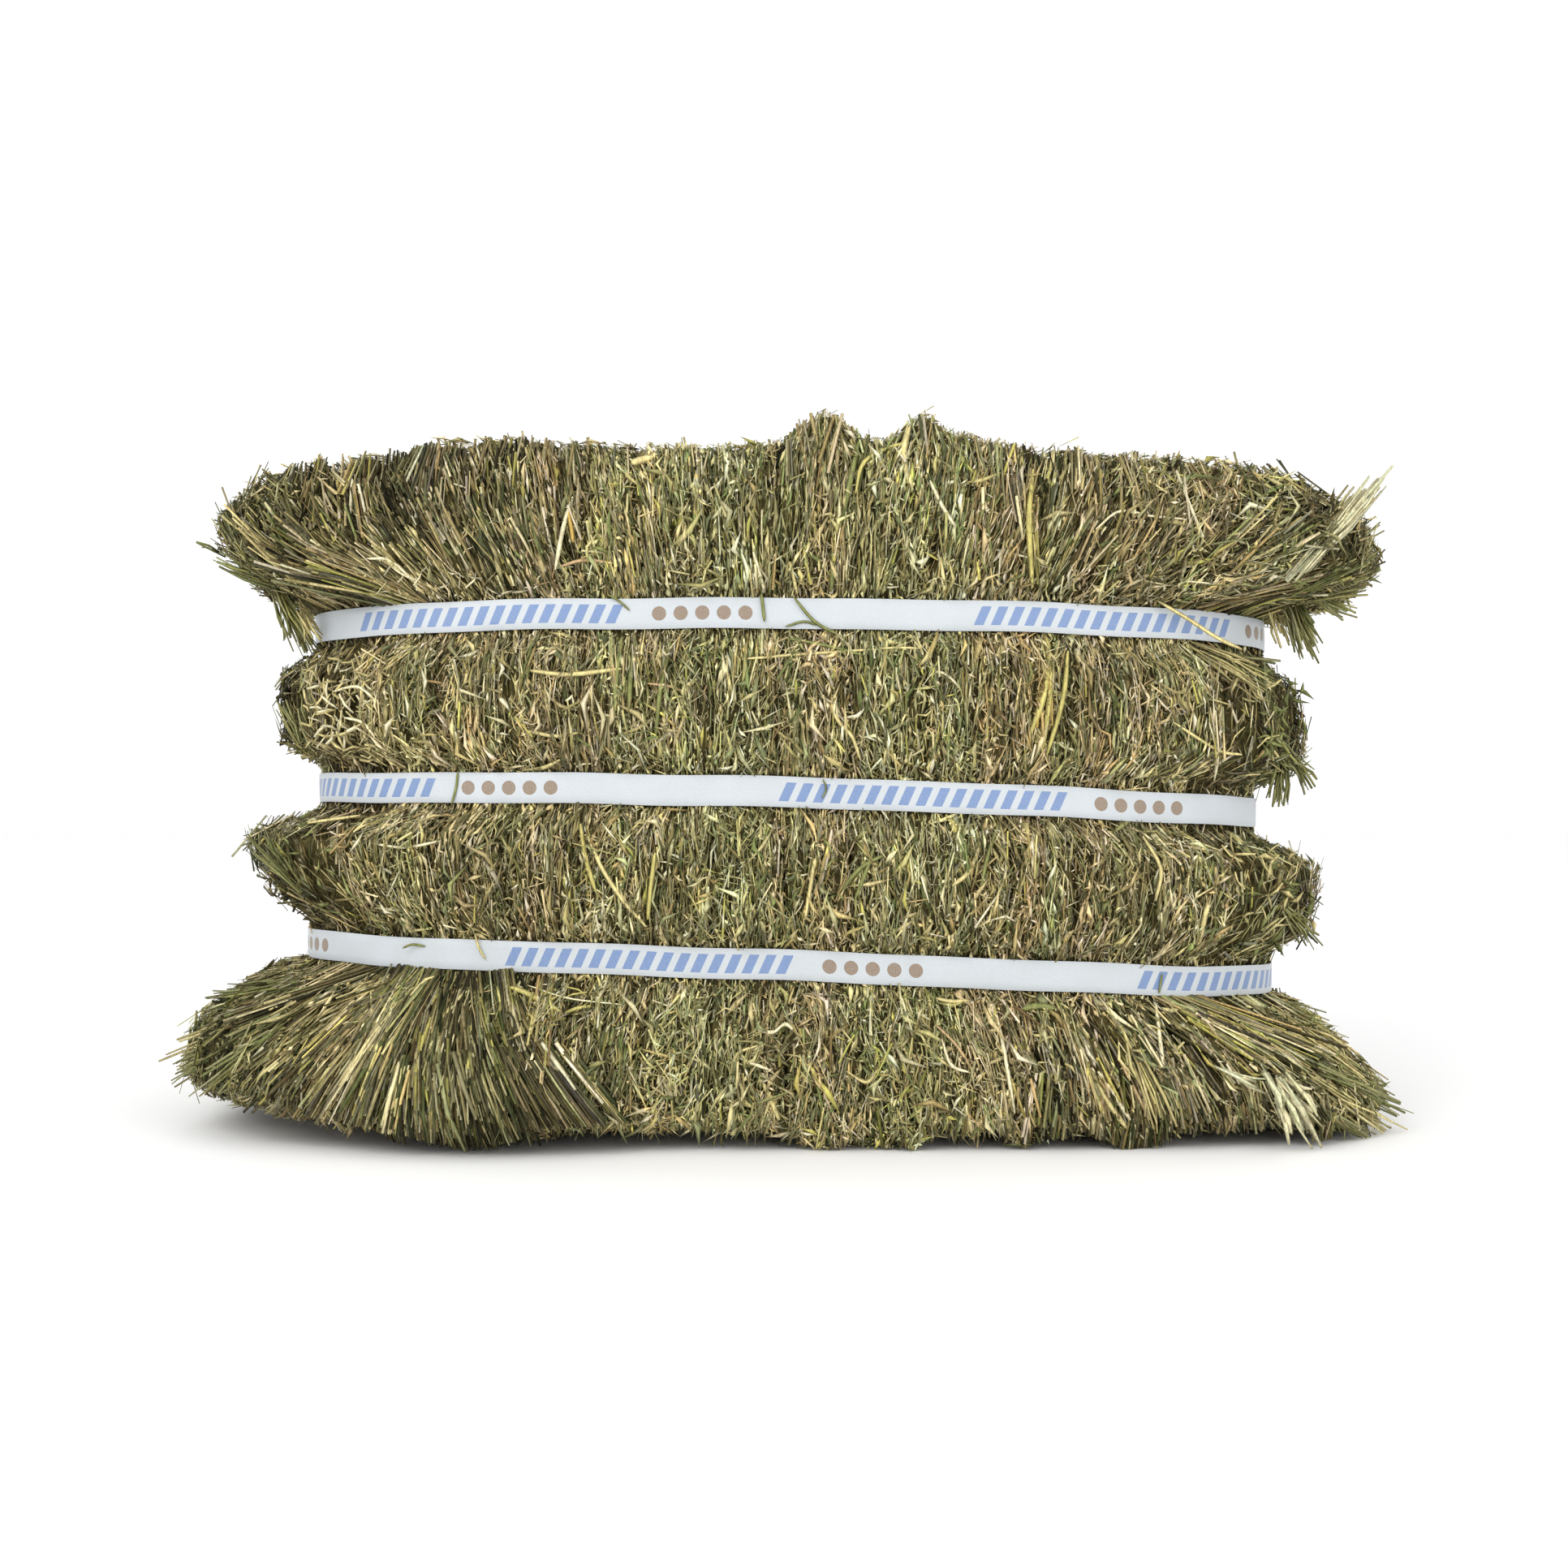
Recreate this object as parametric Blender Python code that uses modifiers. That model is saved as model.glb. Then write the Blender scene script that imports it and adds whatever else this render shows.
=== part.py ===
"""Square hay bale: pressed flakes standing side by side, held by three plastic straps.

Metres, +Z up. X runs along the bale, across its flakes, Y is its depth and Z its height.
The bale stands on z = 0, with the middle of its box above the origin. The front is at -Y.

A point inside the bale is named by three shares before it is placed:
along  -1 at the left end to 1 at the right end,
deep   -1 at the front to 1 at the back,
up      0 at the bottom to 1 at the top, with the straps at 1/4, 1/2 and 3/4.
"""
import math

import bmesh
import bpy
import numpy as np
from mathutils import Vector
from mathutils.geometry import convex_hull_2d

# The flakes, the slabs that the press packs against each other
FLAKE_COUNT = 12
FLAKE_THICKNESS_SPREAD = 0.22
FLAKE_WANDER = 0.010
FLAKE_GAP = 0.0005
SEED = 17

# The straps
STRAP_WIDTH = 0.019
STRAP_THICKNESS = 0.0008
STRAP_CLEARANCE = 0.0004
STRAP_CHORD_ERROR = 0.0006
STRAP_PLACES = {"strap_bottom": 0.25, "strap_middle": 0.5, "strap_top": 0.75}
WELD_LENGTH = 0.045

# Height of each strap's middle: at the bale's centre, its slope and its bend along X
STRAP_HEIGHT = {
    "strap_bottom": (0.1135, -0.037, -0.05),
    "strap_middle": (0.2200, -0.026, -0.06),
    "strap_top": (0.3300, -0.006, -0.045),
}

# The top outline: height at the middle and how fast it falls towards the ends
TOP_HEIGHT = 0.433
TOP_FALL = 0.13

# Tufts that stand out of the top: place along X, height and half width
TOP_TUFTS = (
    (-0.185, 0.008, 0.060),
    (0.026, 0.020, 0.021),
    (0.086, 0.017, 0.019),
    (0.120, 0.005, 0.030),
)

# How far the lowest edge stands off the floor at the left end and at the right end
LIFT_LEFT = 0.018
LIFT_RIGHT = 0.004
LIFT_START = 0.75

# Half length of the bale at rows from bottom to top: notches at the straps, flares beyond them
ROWS = (0.0, 0.05, 0.12, 0.19, 0.224, 0.276, 0.33, 0.42, 0.474,
        0.526, 0.58, 0.67, 0.724, 0.776, 0.83, 0.89, 0.95, 1.0)
LEFT_REACH = (0.386, 0.403, 0.398, 0.362, 0.322, 0.322, 0.346, 0.366, 0.314, 0.314, 0.344, 0.344,
              0.317, 0.317, 0.356, 0.374, 0.382, 0.364)
RIGHT_REACH = (0.398, 0.403, 0.384, 0.360, 0.330, 0.330, 0.357, 0.363, 0.319, 0.319, 0.357, 0.352,
               0.325, 0.325, 0.386, 0.400, 0.390, 0.356)

# Half depth of the bale from bottom to top: bitten in at the straps, swollen between them
DEPTH_REACH = (0.171, 0.184, 0.188, 0.181, 0.172, 0.172, 0.183, 0.184, 0.174, 0.174, 0.184, 0.183,
               0.172, 0.172, 0.182, 0.188, 0.184, 0.170)

# The outer flakes fan out, and the corners are rounded in plan, most where the straps pull
FAN_POWER = 4.0
CORNER_ROUNDING = 0.20
FLARE_ROUNDING = 0.12
CORNER_POWER = 3.5

# The tuft that bursts forward below the bottom strap: place, reach and half sizes
TUFT_X = -0.200
TUFT_UP = 0.10
TUFT_REACH = 0.026
TUFT_HALF_WIDTH = 0.085
TUFT_HALF_UP = 0.085

# It makes the front stand out further than the back, so the block sits this much behind the middle
BLOCK_BACK = 0.00924

# Relief of the outside: grooves between flakes and between their locks of hay
FLAKE_GROOVE = 0.006
LOCK_GROOVE = 0.0015
LOCK_HEIGHT = 0.006
END_LOCK_GROOVE = 0.014
END_LOCK_RAGGED = 0.007
TIP_HEIGHT = 0.009

# Where each flake's slab is divided: across its thickness, along its depth and up its height
COLUMNS = (-1.0, -0.5, 0.0, 0.5, 1.0)
LAYERS = (-1.0, -0.7, 0.0, 0.7, 1.0)

# The two end faces are divided more finely, into locks side by side
END_LAYERS = (-0.88, -0.7, -0.5, -0.3, -0.12, 0.0, 0.12, 0.3, 0.5, 0.7, 0.88)

HAY_COLOR = (0.205, 0.175, 0.075, 1.0)
STRAP_COLOR = (0.74, 0.79, 0.86, 1.0)


def strap_height(name, x):
    """Height of a strap's middle at a place along X."""
    level, slope, bend = STRAP_HEIGHT[name]
    return level + slope * x + bend * x * x


def top_height(x):
    """Height of the top outline at a place along X."""
    height = TOP_HEIGHT - TOP_FALL * x * x
    for place, rise, half_width in TOP_TUFTS:
        height = height + rise * np.exp(-(((x - place) / half_width) ** 2))
    return height


def flake_edges():
    """Shares along the bale at which one flake ends and the next begins."""
    rng = np.random.default_rng(SEED)
    thickness = 1.0 + FLAKE_THICKNESS_SPREAD * rng.uniform(-1.0, 1.0, FLAKE_COUNT)
    edges = np.concatenate(([0.0], np.cumsum(thickness)))
    return 2.0 * edges / edges[-1] - 1.0


def edge_share(edge_index, deep, up):
    """Where a boundary between two flakes runs: it wanders a little from bottom to top."""
    share = flake_edges()[edge_index]
    if edge_index in (0, FLAKE_COUNT):
        return share + 0.0 * up
    phase = 1.7 * edge_index
    return share + FLAKE_WANDER * np.sin(5.0 * up + phase) * np.cos(1.3 * deep + phase)


def place_point(along, deep, up):
    """Turn the three shares of a point into its place in the bale, without relief."""
    reach = np.where(
        along < 0.0, np.interp(up, ROWS, LEFT_REACH), np.interp(up, ROWS, RIGHT_REACH)
    )
    tied = np.array(list(STRAP_PLACES.values()))
    core = np.where(
        along < 0.0,
        np.interp(up, tied, np.interp(tied, ROWS, LEFT_REACH)),
        np.interp(up, tied, np.interp(tied, ROWS, RIGHT_REACH)),
    )
    fan = np.sign(along) * np.abs(along) ** FAN_POWER
    flare = np.clip((np.abs(up - 0.5) - 0.276) / 0.1, 0.0, 1.0)
    rounding = CORNER_ROUNDING + (FLARE_ROUNDING - CORNER_ROUNDING) * flare
    rounding_x = 1.0 - rounding * np.abs(deep) ** CORNER_POWER
    rounding_y = 1.0 - rounding * np.abs(along) ** CORNER_POWER
    x = (core * along + (reach - core) * fan) * rounding_x

    y = np.interp(up, ROWS, DEPTH_REACH) * deep * rounding_y
    burst = np.exp(-(((x - TUFT_X) / TUFT_HALF_WIDTH) ** 2) - ((up - TUFT_UP) / TUFT_HALF_UP) ** 4)
    y = y - TUFT_REACH * burst * np.clip(-deep, 0.0, 1.0) ** 2 + BLOCK_BACK

    lift = np.where(along < 0.0, LIFT_LEFT, LIFT_RIGHT)
    lift = lift * np.clip((np.abs(along) - LIFT_START) / (1.0 - LIFT_START), 0.0, 1.0) ** 2
    levels = (
        lift,
        strap_height("strap_bottom", x),
        strap_height("strap_middle", x),
        strap_height("strap_top", x),
        top_height(x),
    )
    z = np.zeros_like(x)
    for step, level in enumerate(levels):
        z = z + level * np.clip(1.0 - np.abs(4.0 * up - step), 0.0, 1.0)
    return x, y, z


def near_strap(up):
    """1 on the rows under a strap and 0 elsewhere."""
    distance = np.min([np.abs(up - share) for share in STRAP_PLACES.values()], axis=0)
    return (distance < 0.03).astype(float)


def nearest(values, marks):
    """Index of the mark that each value is nearest to."""
    return np.abs(np.asarray(values)[:, None] - np.asarray(marks)[None, :]).argmin(axis=1)


def make_material(name, color, roughness):
    material = bpy.data.materials.new(name)
    material.use_nodes = True
    shader = material.node_tree.nodes["Principled BSDF"]
    shader.inputs["Base Color"].default_value = color
    shader.inputs["Roughness"].default_value = roughness
    shader.inputs["Metallic"].default_value = 0.0
    material.diffuse_color = color
    return material


def divided_cube():
    """A cube from -1 to 1, cut into the columns, layers and rows of a flake."""
    bm = bmesh.new()
    bmesh.ops.create_cube(bm, size=2.0)
    rows = tuple(2.0 * row - 1.0 for row in ROWS)
    for axis, marks in enumerate((COLUMNS, LAYERS, rows)):
        normal = Vector((axis == 0, axis == 1, axis == 2))
        for mark in marks[1:-1]:
            everything = bm.verts[:] + bm.edges[:] + bm.faces[:]
            bmesh.ops.bisect_plane(
                bm, geom=everything, dist=1e-5, plane_co=normal * mark, plane_no=normal
            )
    return bm


def divide_end(bm, side):
    """Cut the outer quarter of an end flake into the layers of its locks."""
    for mark in END_LAYERS:
        if mark in LAYERS:
            continue
        faces = [f for f in bm.faces if side * f.calc_center_median().x > 0.5]
        edges = {edge for face in faces for edge in face.edges}
        verts = {vert for face in faces for vert in face.verts}
        bmesh.ops.bisect_plane(
            bm,
            geom=list(verts) + list(edges) + faces,
            dist=1e-5,
            plane_co=(0.0, mark, 0.0),
            plane_no=(0.0, 1.0, 0.0),
        )


def add_mesh_object(name, bm, collection, material):
    mesh = bpy.data.meshes.new(name)
    bm.to_mesh(mesh)
    bm.free()
    mesh.materials.append(material)
    obj = bpy.data.objects.new(name, mesh)
    collection.objects.link(obj)
    return obj


def make_flake(index, collection, material):
    """One slab of hay: a divided cube put through the bale's shape, with locks on its outside."""
    rng = np.random.default_rng(SEED + 100 + index)
    layers = sorted(set(LAYERS + END_LAYERS))
    side_relief = rng.uniform(0.0, LOCK_HEIGHT, (2, len(COLUMNS), len(ROWS)))
    end_relief = rng.uniform(-END_LOCK_RAGGED, 0.0, (len(layers), len(ROWS)))
    tip_relief = rng.uniform(-TIP_HEIGHT, TIP_HEIGHT, (2, len(COLUMNS), len(layers)))

    bm = divided_cube()
    end_side = {0: -1.0, FLAKE_COUNT - 1: 1.0}.get(index, 0.0)
    if end_side:
        divide_end(bm, end_side)
    shares = np.array([vert.co[:] for vert in bm.verts])
    across, deep, up = shares[:, 0], shares[:, 1], 0.5 * (shares[:, 2] + 1.0)
    column = nearest(across, COLUMNS)
    layer = nearest(deep, layers)
    row = nearest(up, ROWS)

    left = edge_share(index, deep, up)
    right = edge_share(index + 1, deep, up)
    along = left + 0.5 * (across + 1.0) * (right - left)
    x, y, z = place_point(along, deep, up)

    # Front and back: a groove at each boundary, and ridges of uneven height between them
    free = 1.0 - near_strap(up)
    inner = (column > 0) & (column < len(COLUMNS) - 1)
    middle = column == len(COLUMNS) // 2
    on_side = np.abs(deep) > 0.999
    back = (deep > 0).astype(int)
    ridge = side_relief[back, column, row] - np.where(middle, LOCK_GROOVE, 0.0)
    relief = np.where(inner, ridge, -FLAKE_GROOVE)
    y = y + np.sign(deep) * relief * free * on_side

    # Ends: locks side by side that run out to the flares, where their tips are ragged
    on_end = np.abs(along) > 0.999
    widest = row == LEFT_REACH.index(max(LEFT_REACH))
    crest = (layer % 2 == 1) | (layer == layers.index(0.0))
    ragged = end_relief[layer, row] - np.where(crest, 0.0, END_LOCK_GROOVE)
    ragged = np.where(widest & (layer == layers.index(0.0)), 0.0, ragged)
    x = x + np.sign(along) * ragged * free * on_end

    # Top and bottom: uneven tips, but a flat middle to rest on
    on_top = row == len(ROWS) - 1
    z = z + on_top * np.where(inner, tip_relief[1, column, layer], -0.4 * TIP_HEIGHT)
    rim = (row == 0) & (on_side | on_end)
    z = z + rim * np.where(inner, np.abs(tip_relief[0, column, layer]), 0.7 * TIP_HEIGHT)

    x = x - across * 0.5 * FLAKE_GAP
    for vert, place in zip(bm.verts, np.stack((x, y, z), axis=1)):
        vert.co = Vector(place.tolist())
    bmesh.ops.triangulate(bm, faces=bm.faces[:], quad_method="SHORT_EDGE")
    bmesh.ops.recalc_face_normals(bm, faces=bm.faces[:])
    return add_mesh_object(f"flake_{index + 1:02d}", bm, collection, material)


def strap_outline(up):
    """Plan outline that a taut strap takes round the flakes, with few corners."""
    shares = np.linspace(-1.0, 1.0, 97)
    ones = np.ones_like(shares)
    loops = []
    for row in (up - 0.026, up + 0.026):
        for along, deep in ((shares, -ones), (shares, ones), (ones, shares), (-ones, shares)):
            x, y, _ = place_point(along, deep, row * ones)
            loops.append(np.stack((x, y), axis=1))
    points = [Vector(point.tolist()) for point in np.concatenate(loops)]
    corners = [points[i] for i in convex_hull_2d(points)]

    while True:
        errors = []
        for i, corner in enumerate(corners):
            before, after = corners[i - 1], corners[(i + 1) % len(corners)]
            chord = after - before
            offset = corner - before
            errors.append(abs(chord.x * offset.y - chord.y * offset.x) / chord.length)
        smallest = min(errors)
        if smallest > STRAP_CHORD_ERROR:
            return corners
        del corners[errors.index(smallest)]


def make_strap(name, collection, cutters, material):
    """A taut band: its outline pulled up into a wall, thickened, with the heat weld at the back."""
    corners = strap_outline(STRAP_PLACES[name])
    middle = Vector((0.0, BLOCK_BACK))
    half_depth = max(corner.y for corner in corners) - BLOCK_BACK
    half_length = max(corner.x for corner in corners)
    stand_off = STRAP_CLEARANCE + 2.0 * STRAP_CHORD_ERROR

    bm = bmesh.new()
    lower = []
    for corner in corners:
        x = corner.x * (1.0 + stand_off / half_length)
        y = middle.y + (corner.y - middle.y) * (1.0 + stand_off / half_depth)
        lower.append(bm.verts.new((x, y, strap_height(name, x) - 0.5 * STRAP_WIDTH)))
    edges = [bm.edges.new((lower[i - 1], lower[i])) for i in range(len(lower))]
    raised = bmesh.ops.extrude_edge_only(bm, edges=edges)["geom"]
    upper = [item for item in raised if isinstance(item, bmesh.types.BMVert)]
    bmesh.ops.translate(bm, verts=upper, vec=(0.0, 0.0, STRAP_WIDTH))
    bmesh.ops.recalc_face_normals(bm, faces=bm.faces[:])
    face = max(bm.faces, key=lambda item: item.calc_center_median().x)
    if face.normal.x < 0.0:
        bmesh.ops.reverse_faces(bm, faces=bm.faces[:])
    strap = add_mesh_object(name, bm, collection, material)

    wall = strap.modifiers.new("wall", "SOLIDIFY")
    wall.thickness = STRAP_THICKNESS
    wall.offset = 1.0

    # The weld is a second layer of the same strap, laid over the first
    slope = STRAP_HEIGHT[name][1]
    bpy.ops.mesh.primitive_cube_add(size=1.0)
    weld = bpy.context.object
    weld.name = f"{name}_weld"
    weld.dimensions = (WELD_LENGTH, 1.6 * STRAP_THICKNESS, 0.97 * STRAP_WIDTH)
    surface = BLOCK_BACK + half_depth + stand_off + STRAP_THICKNESS
    weld.location = (0.0, surface + 0.2 * STRAP_THICKNESS, strap_height(name, 0.0))
    weld.rotation_euler = (0.0, -math.atan(slope), 0.0)
    for owner in list(weld.users_collection):
        owner.objects.unlink(weld)
    cutters.objects.link(weld)
    weld.display_type = "WIRE"
    weld.hide_render = True

    join = strap.modifiers.new("weld", "BOOLEAN")
    join.operation = "UNION"
    join.solver = "EXACT"
    join.object = weld
    return strap


def main():
    for obj in list(bpy.data.objects):
        bpy.data.objects.remove(obj, do_unlink=True)
    bale = bpy.data.collections.new("square_hay_bale")
    cutters = bpy.data.collections.new("cutters")
    bpy.context.scene.collection.children.link(bale)
    bpy.context.scene.collection.children.link(cutters)
    hay = make_material("hay", HAY_COLOR, 0.85)
    plastic = make_material("strap", STRAP_COLOR, 0.45)
    for index in range(FLAKE_COUNT):
        make_flake(index, bale, hay)
    for name in STRAP_PLACES:
        make_strap(name, bale, cutters, plastic)


main()
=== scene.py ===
# %% [markdown]
# # A compressed square hay bale
#
# The bale is dry grass, cut, packed flake by flake and squeezed, then held by three flat plastic
# straps. Its look comes from more than a hundred thousand stems and leaf pieces that lie along each
# other, pale where light falls on them and nearly black in the gaps between.
#
# Such a surface could be a picture on a box, a hair system or real little stems. A picture is flat at
# the edges, where a bale is most ragged, and hair is lost when a model is exported. So every stem here
# is a small closed mesh, and numpy works all of them out at once.

# %% Load the fixed frame
import math

import bpy
import numpy as np
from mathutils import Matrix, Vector


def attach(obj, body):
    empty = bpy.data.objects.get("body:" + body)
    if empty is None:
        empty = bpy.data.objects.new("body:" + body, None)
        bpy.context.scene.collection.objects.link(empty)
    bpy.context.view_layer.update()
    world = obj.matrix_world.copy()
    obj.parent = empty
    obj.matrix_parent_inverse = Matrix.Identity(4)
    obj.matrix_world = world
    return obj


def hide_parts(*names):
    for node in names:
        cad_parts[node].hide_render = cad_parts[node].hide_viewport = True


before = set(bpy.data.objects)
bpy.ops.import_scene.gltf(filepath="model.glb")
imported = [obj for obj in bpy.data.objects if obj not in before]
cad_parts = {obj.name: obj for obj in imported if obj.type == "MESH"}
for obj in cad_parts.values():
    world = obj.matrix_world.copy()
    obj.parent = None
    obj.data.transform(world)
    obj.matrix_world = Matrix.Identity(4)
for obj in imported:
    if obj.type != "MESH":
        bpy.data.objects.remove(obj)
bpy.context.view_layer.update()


# %% [markdown]
# ## The form of the bale
#
# The solids of the frame came from one rule, and the stems need the same rule, only finer. A place in
# the bale is named by three shares: along (-1 left to 1 right), deep (-1 front to 1 back) and up
# (0 to 1, with the straps at a quarter, a half and three quarters). The rule could be replaced by
# rays shot at the solids, but then stems would not know which way the hay runs under them.

# %% Sizes of the bale
FLAKE_COUNT = 12
FLAKE_SPREAD = 0.22
FLAKE_WANDER = 0.010
SEED = 17
# Share of the height, then level, slope and bend of the strap's line in metres
STRAPS = {
    "strap_bottom": (0.25, 0.1135, -0.037, -0.05),
    "strap_middle": (0.50, 0.2200, -0.026, -0.06),
    "strap_top": (0.75, 0.3300, -0.006, -0.045),
}
STRAP_WIDTH = 0.019
TOP_HEIGHT = 0.433
TOP_FALL = 0.13
# Place along X, rise and half width of the tufts on the top outline
TOP_TUFTS = ((-0.185, 0.008, 0.060), (0.026, 0.020, 0.021), (0.086, 0.017, 0.019), (0.120, 0.005, 0.030))
LIFT_LEFT = 0.018
LIFT_RIGHT = 0.004
LIFT_START = 0.75
# How far the ends reach from the middle at some shares of the height
ROWS = (0.0, 0.05, 0.12, 0.19, 0.224, 0.276, 0.33, 0.42, 0.474,
        0.526, 0.58, 0.67, 0.724, 0.776, 0.83, 0.89, 0.95, 1.0)
LEFT_REACH = (0.386, 0.403, 0.398, 0.362, 0.322, 0.322, 0.346, 0.366, 0.314, 0.314, 0.344, 0.344,
              0.317, 0.317, 0.356, 0.374, 0.382, 0.364)
RIGHT_REACH = (0.398, 0.403, 0.384, 0.360, 0.330, 0.330, 0.357, 0.363, 0.319, 0.319, 0.357, 0.352,
               0.325, 0.325, 0.386, 0.400, 0.390, 0.356)
# How far the front and the back stand from the middle
DEPTH_ROWS = (0.0, 0.05, 0.12, 0.19, 0.205, 0.224, 0.276, 0.295, 0.33, 0.42, 0.455, 0.474,
              0.526, 0.545, 0.58, 0.67, 0.705, 0.724, 0.776, 0.795, 0.83, 0.89, 0.95, 1.0)
DEPTH_REACH = (0.171, 0.184, 0.188, 0.184, 0.181, 0.172, 0.172, 0.180, 0.184, 0.185, 0.182, 0.174,
               0.174, 0.182, 0.185, 0.184, 0.181, 0.172, 0.172, 0.179, 0.183, 0.188, 0.184, 0.170)
FAN_POWER = 4.0
CORNER_ROUNDING = 0.20
FLARE_ROUNDING = 0.12
CORNER_POWER = 3.5
TUFT_X = -0.200
TUFT_UP = 0.10
TUFT_REACH = 0.026
TUFT_HALF_WIDTH = 0.085
TUFT_HALF_UP = 0.085
BLOCK_BACK = 0.00924
STRAP_SHARES = np.array([place[0] for place in STRAPS.values()])


# %% The rule that places a point
def smooth_rows(up, values, rows=ROWS):
    """A curve through the row values that never overshoots them.

    Its slope at a row is the harmonic mean of the two slopes beside it, or level where they differ in
    sign, and between two rows it is the cubic with those slopes.
    """
    rows = np.array(rows)
    values = np.array(values)
    step = np.diff(rows)
    rise = np.diff(values) / step
    before, after = rise[:-1], rise[1:]
    same = before * after > 0.0
    total = np.where(same, before + after, 1.0)
    slope = np.concatenate(([rise[0]], np.where(same, 2.0 * before * after / total, 0.0), [rise[-1]]))
    k = np.clip(np.searchsorted(rows, up, side="right") - 1, 0, len(step) - 1)
    t = (up - rows[k]) / step[k]
    return (
        values[k] * (1.0 + 2.0 * t) * (1.0 - t) ** 2
        + slope[k] * step[k] * t * (1.0 - t) ** 2
        + values[k + 1] * t * t * (3.0 - 2.0 * t)
        + slope[k + 1] * step[k] * t * t * (t - 1.0)
    )


def strap_height(name, x):
    """Height of a strap's middle: a level, a slope and a bend along X."""
    _, level, slope, bend = STRAPS[name]
    return level + slope * x + bend * x * x


def top_height(x):
    """Height of the top outline: a shallow arch with a few bell-shaped tufts on it."""
    height = TOP_HEIGHT - TOP_FALL * x * x
    for place, rise, half_width in TOP_TUFTS:
        height = height + rise * np.exp(-(((x - place) / half_width) ** 2))
    return height


def flake_edges():
    """Shares along the bale at which one flake ends and the next begins."""
    rng = np.random.default_rng(SEED)
    thickness = 1.0 + FLAKE_SPREAD * rng.uniform(-1.0, 1.0, FLAKE_COUNT)
    edges = np.concatenate(([0.0], np.cumsum(thickness)))
    return 2.0 * edges / edges[-1] - 1.0


EDGES = flake_edges()


def edge_share(index, deep, up):
    """Where the boundary between two flakes runs, which wanders by a sine from bottom to top."""
    wander = 0.0 if index in (0, FLAKE_COUNT) else FLAKE_WANDER
    phase = 1.7 * index
    return EDGES[index] + wander * np.sin(5.0 * up + phase) * np.cos(1.3 * deep + phase)


def place_point(along, deep, up):
    """The three shares of a point turned into its place.

    Half length and half depth are read from the rows. The ends fan out with the fourth power of the
    share along, the corners are rounded by a power of the other share, and the height runs straight
    between floor, straps and top outline.
    """
    left = along < 0.0
    reach = np.where(left, smooth_rows(up, LEFT_REACH), smooth_rows(up, RIGHT_REACH))
    core_left = np.interp(STRAP_SHARES, ROWS, LEFT_REACH)
    core_right = np.interp(STRAP_SHARES, ROWS, RIGHT_REACH)
    core = np.where(left, np.interp(up, STRAP_SHARES, core_left), np.interp(up, STRAP_SHARES, core_right))
    fan = np.sign(along) * np.abs(along) ** FAN_POWER
    flare = np.clip((np.abs(up - 0.5) - 0.276) / 0.1, 0.0, 1.0)
    rounding = CORNER_ROUNDING + (FLARE_ROUNDING - CORNER_ROUNDING) * flare
    x = (core * along + (reach - core) * fan) * (1.0 - rounding * np.abs(deep) ** CORNER_POWER)

    y = smooth_rows(up, DEPTH_REACH, DEPTH_ROWS) * deep * (1.0 - rounding * np.abs(along) ** CORNER_POWER)
    burst = np.exp(-(((x - TUFT_X) / TUFT_HALF_WIDTH) ** 2) - ((up - TUFT_UP) / TUFT_HALF_UP) ** 4)
    y = y - TUFT_REACH * burst * np.clip(-deep, 0.0, 1.0) ** 2 + BLOCK_BACK

    lift = np.where(left, LIFT_LEFT, LIFT_RIGHT)
    lift = lift * np.clip((np.abs(along) - LIFT_START) / (1.0 - LIFT_START), 0.0, 1.0) ** 2
    levels = [lift] + [strap_height(name, x) for name in STRAPS] + [top_height(x)]
    z = sum(level * np.clip(1.0 - np.abs(4.0 * up - step), 0.0, 1.0) for step, level in enumerate(levels))
    return np.stack((x, y, z), axis=-1)


print("flakes begin at shares", EDGES.round(3))

# %% [markdown]
# ## Lumps, grooves and the bite of the straps
#
# Hay is never level: between two flakes there is a crease, and inside a flake the locks stand out by
# a few millimetres. Sums of sines with unrelated lengths look random, need no tables and give the
# same lumps each time. Where a strap runs, everything is pressed level, so a last rule pulls any point
# that would stand through a strap back under it.

# %% Relief of the outside
FLAKE_GROOVE = 0.007
LOCK_SWELL = 0.0032
END_GROOVE = 0.011
END_RELIEF = 0.002
END_SINK = 0.0025
TOP_RELIEF = 0.0042
TOP_CREASE = 0.002
# Shares of the height: where the hay begins to swell beside a strap's middle, and how softly
FREE_FROM = 0.022
FREE_STEP = 0.03
# Between these tufts (place along X and half width) the lower edge doesn't reach the floor
FLOOR_TUFTS = (
    (-0.190, 0.040), (0.022, 0.022), (0.067, 0.024), (0.150, 0.014), (0.217, 0.026), (0.375, 0.040),
)
FLOOR_GAP = 0.016
END_LAYERS = np.array([-1.0, -0.88, -0.7, -0.5, -0.3, -0.12, 0.0, 0.12, 0.3, 0.5, 0.7, 0.88, 1.0])
END_DEPTH = END_GROOVE * (np.arange(len(END_LAYERS)) % 2 == 0) * (END_LAYERS != 0.0)


def free_of_straps(up):
    """0 under a strap, 1 away from it, with a soft step between."""
    away = np.min([np.abs(up - share) for share in STRAP_SHARES], axis=0)
    return np.clip((away - FREE_FROM) / FREE_STEP, 0.0, 1.0)


def lumps(first, second, seed):
    """Soft lumps of about 20 by 40 mm: four waves that run in different directions."""
    rng = np.random.default_rng(seed)
    total = 0.0
    for _ in range(4):
        a, b = rng.uniform(0.6, 1.5, 2)
        phase = rng.uniform(0.0, 2.0 * math.pi, 2)
        total = total + np.sin(a * first / 0.0045 + phase[0]) * np.sin(b * second / 0.011 + phase[1])
    return 0.5 * total


def lifted_edge(x):
    """Height of the lower edge above the floor: a gap less a bell for each tuft that reaches down."""
    held = sum(np.exp(-(((x - place) / half) ** 2)) for place, half in FLOOR_TUFTS)
    return FLOOR_GAP * (1.0 - held.clip(0.0, 1.0))


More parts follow.
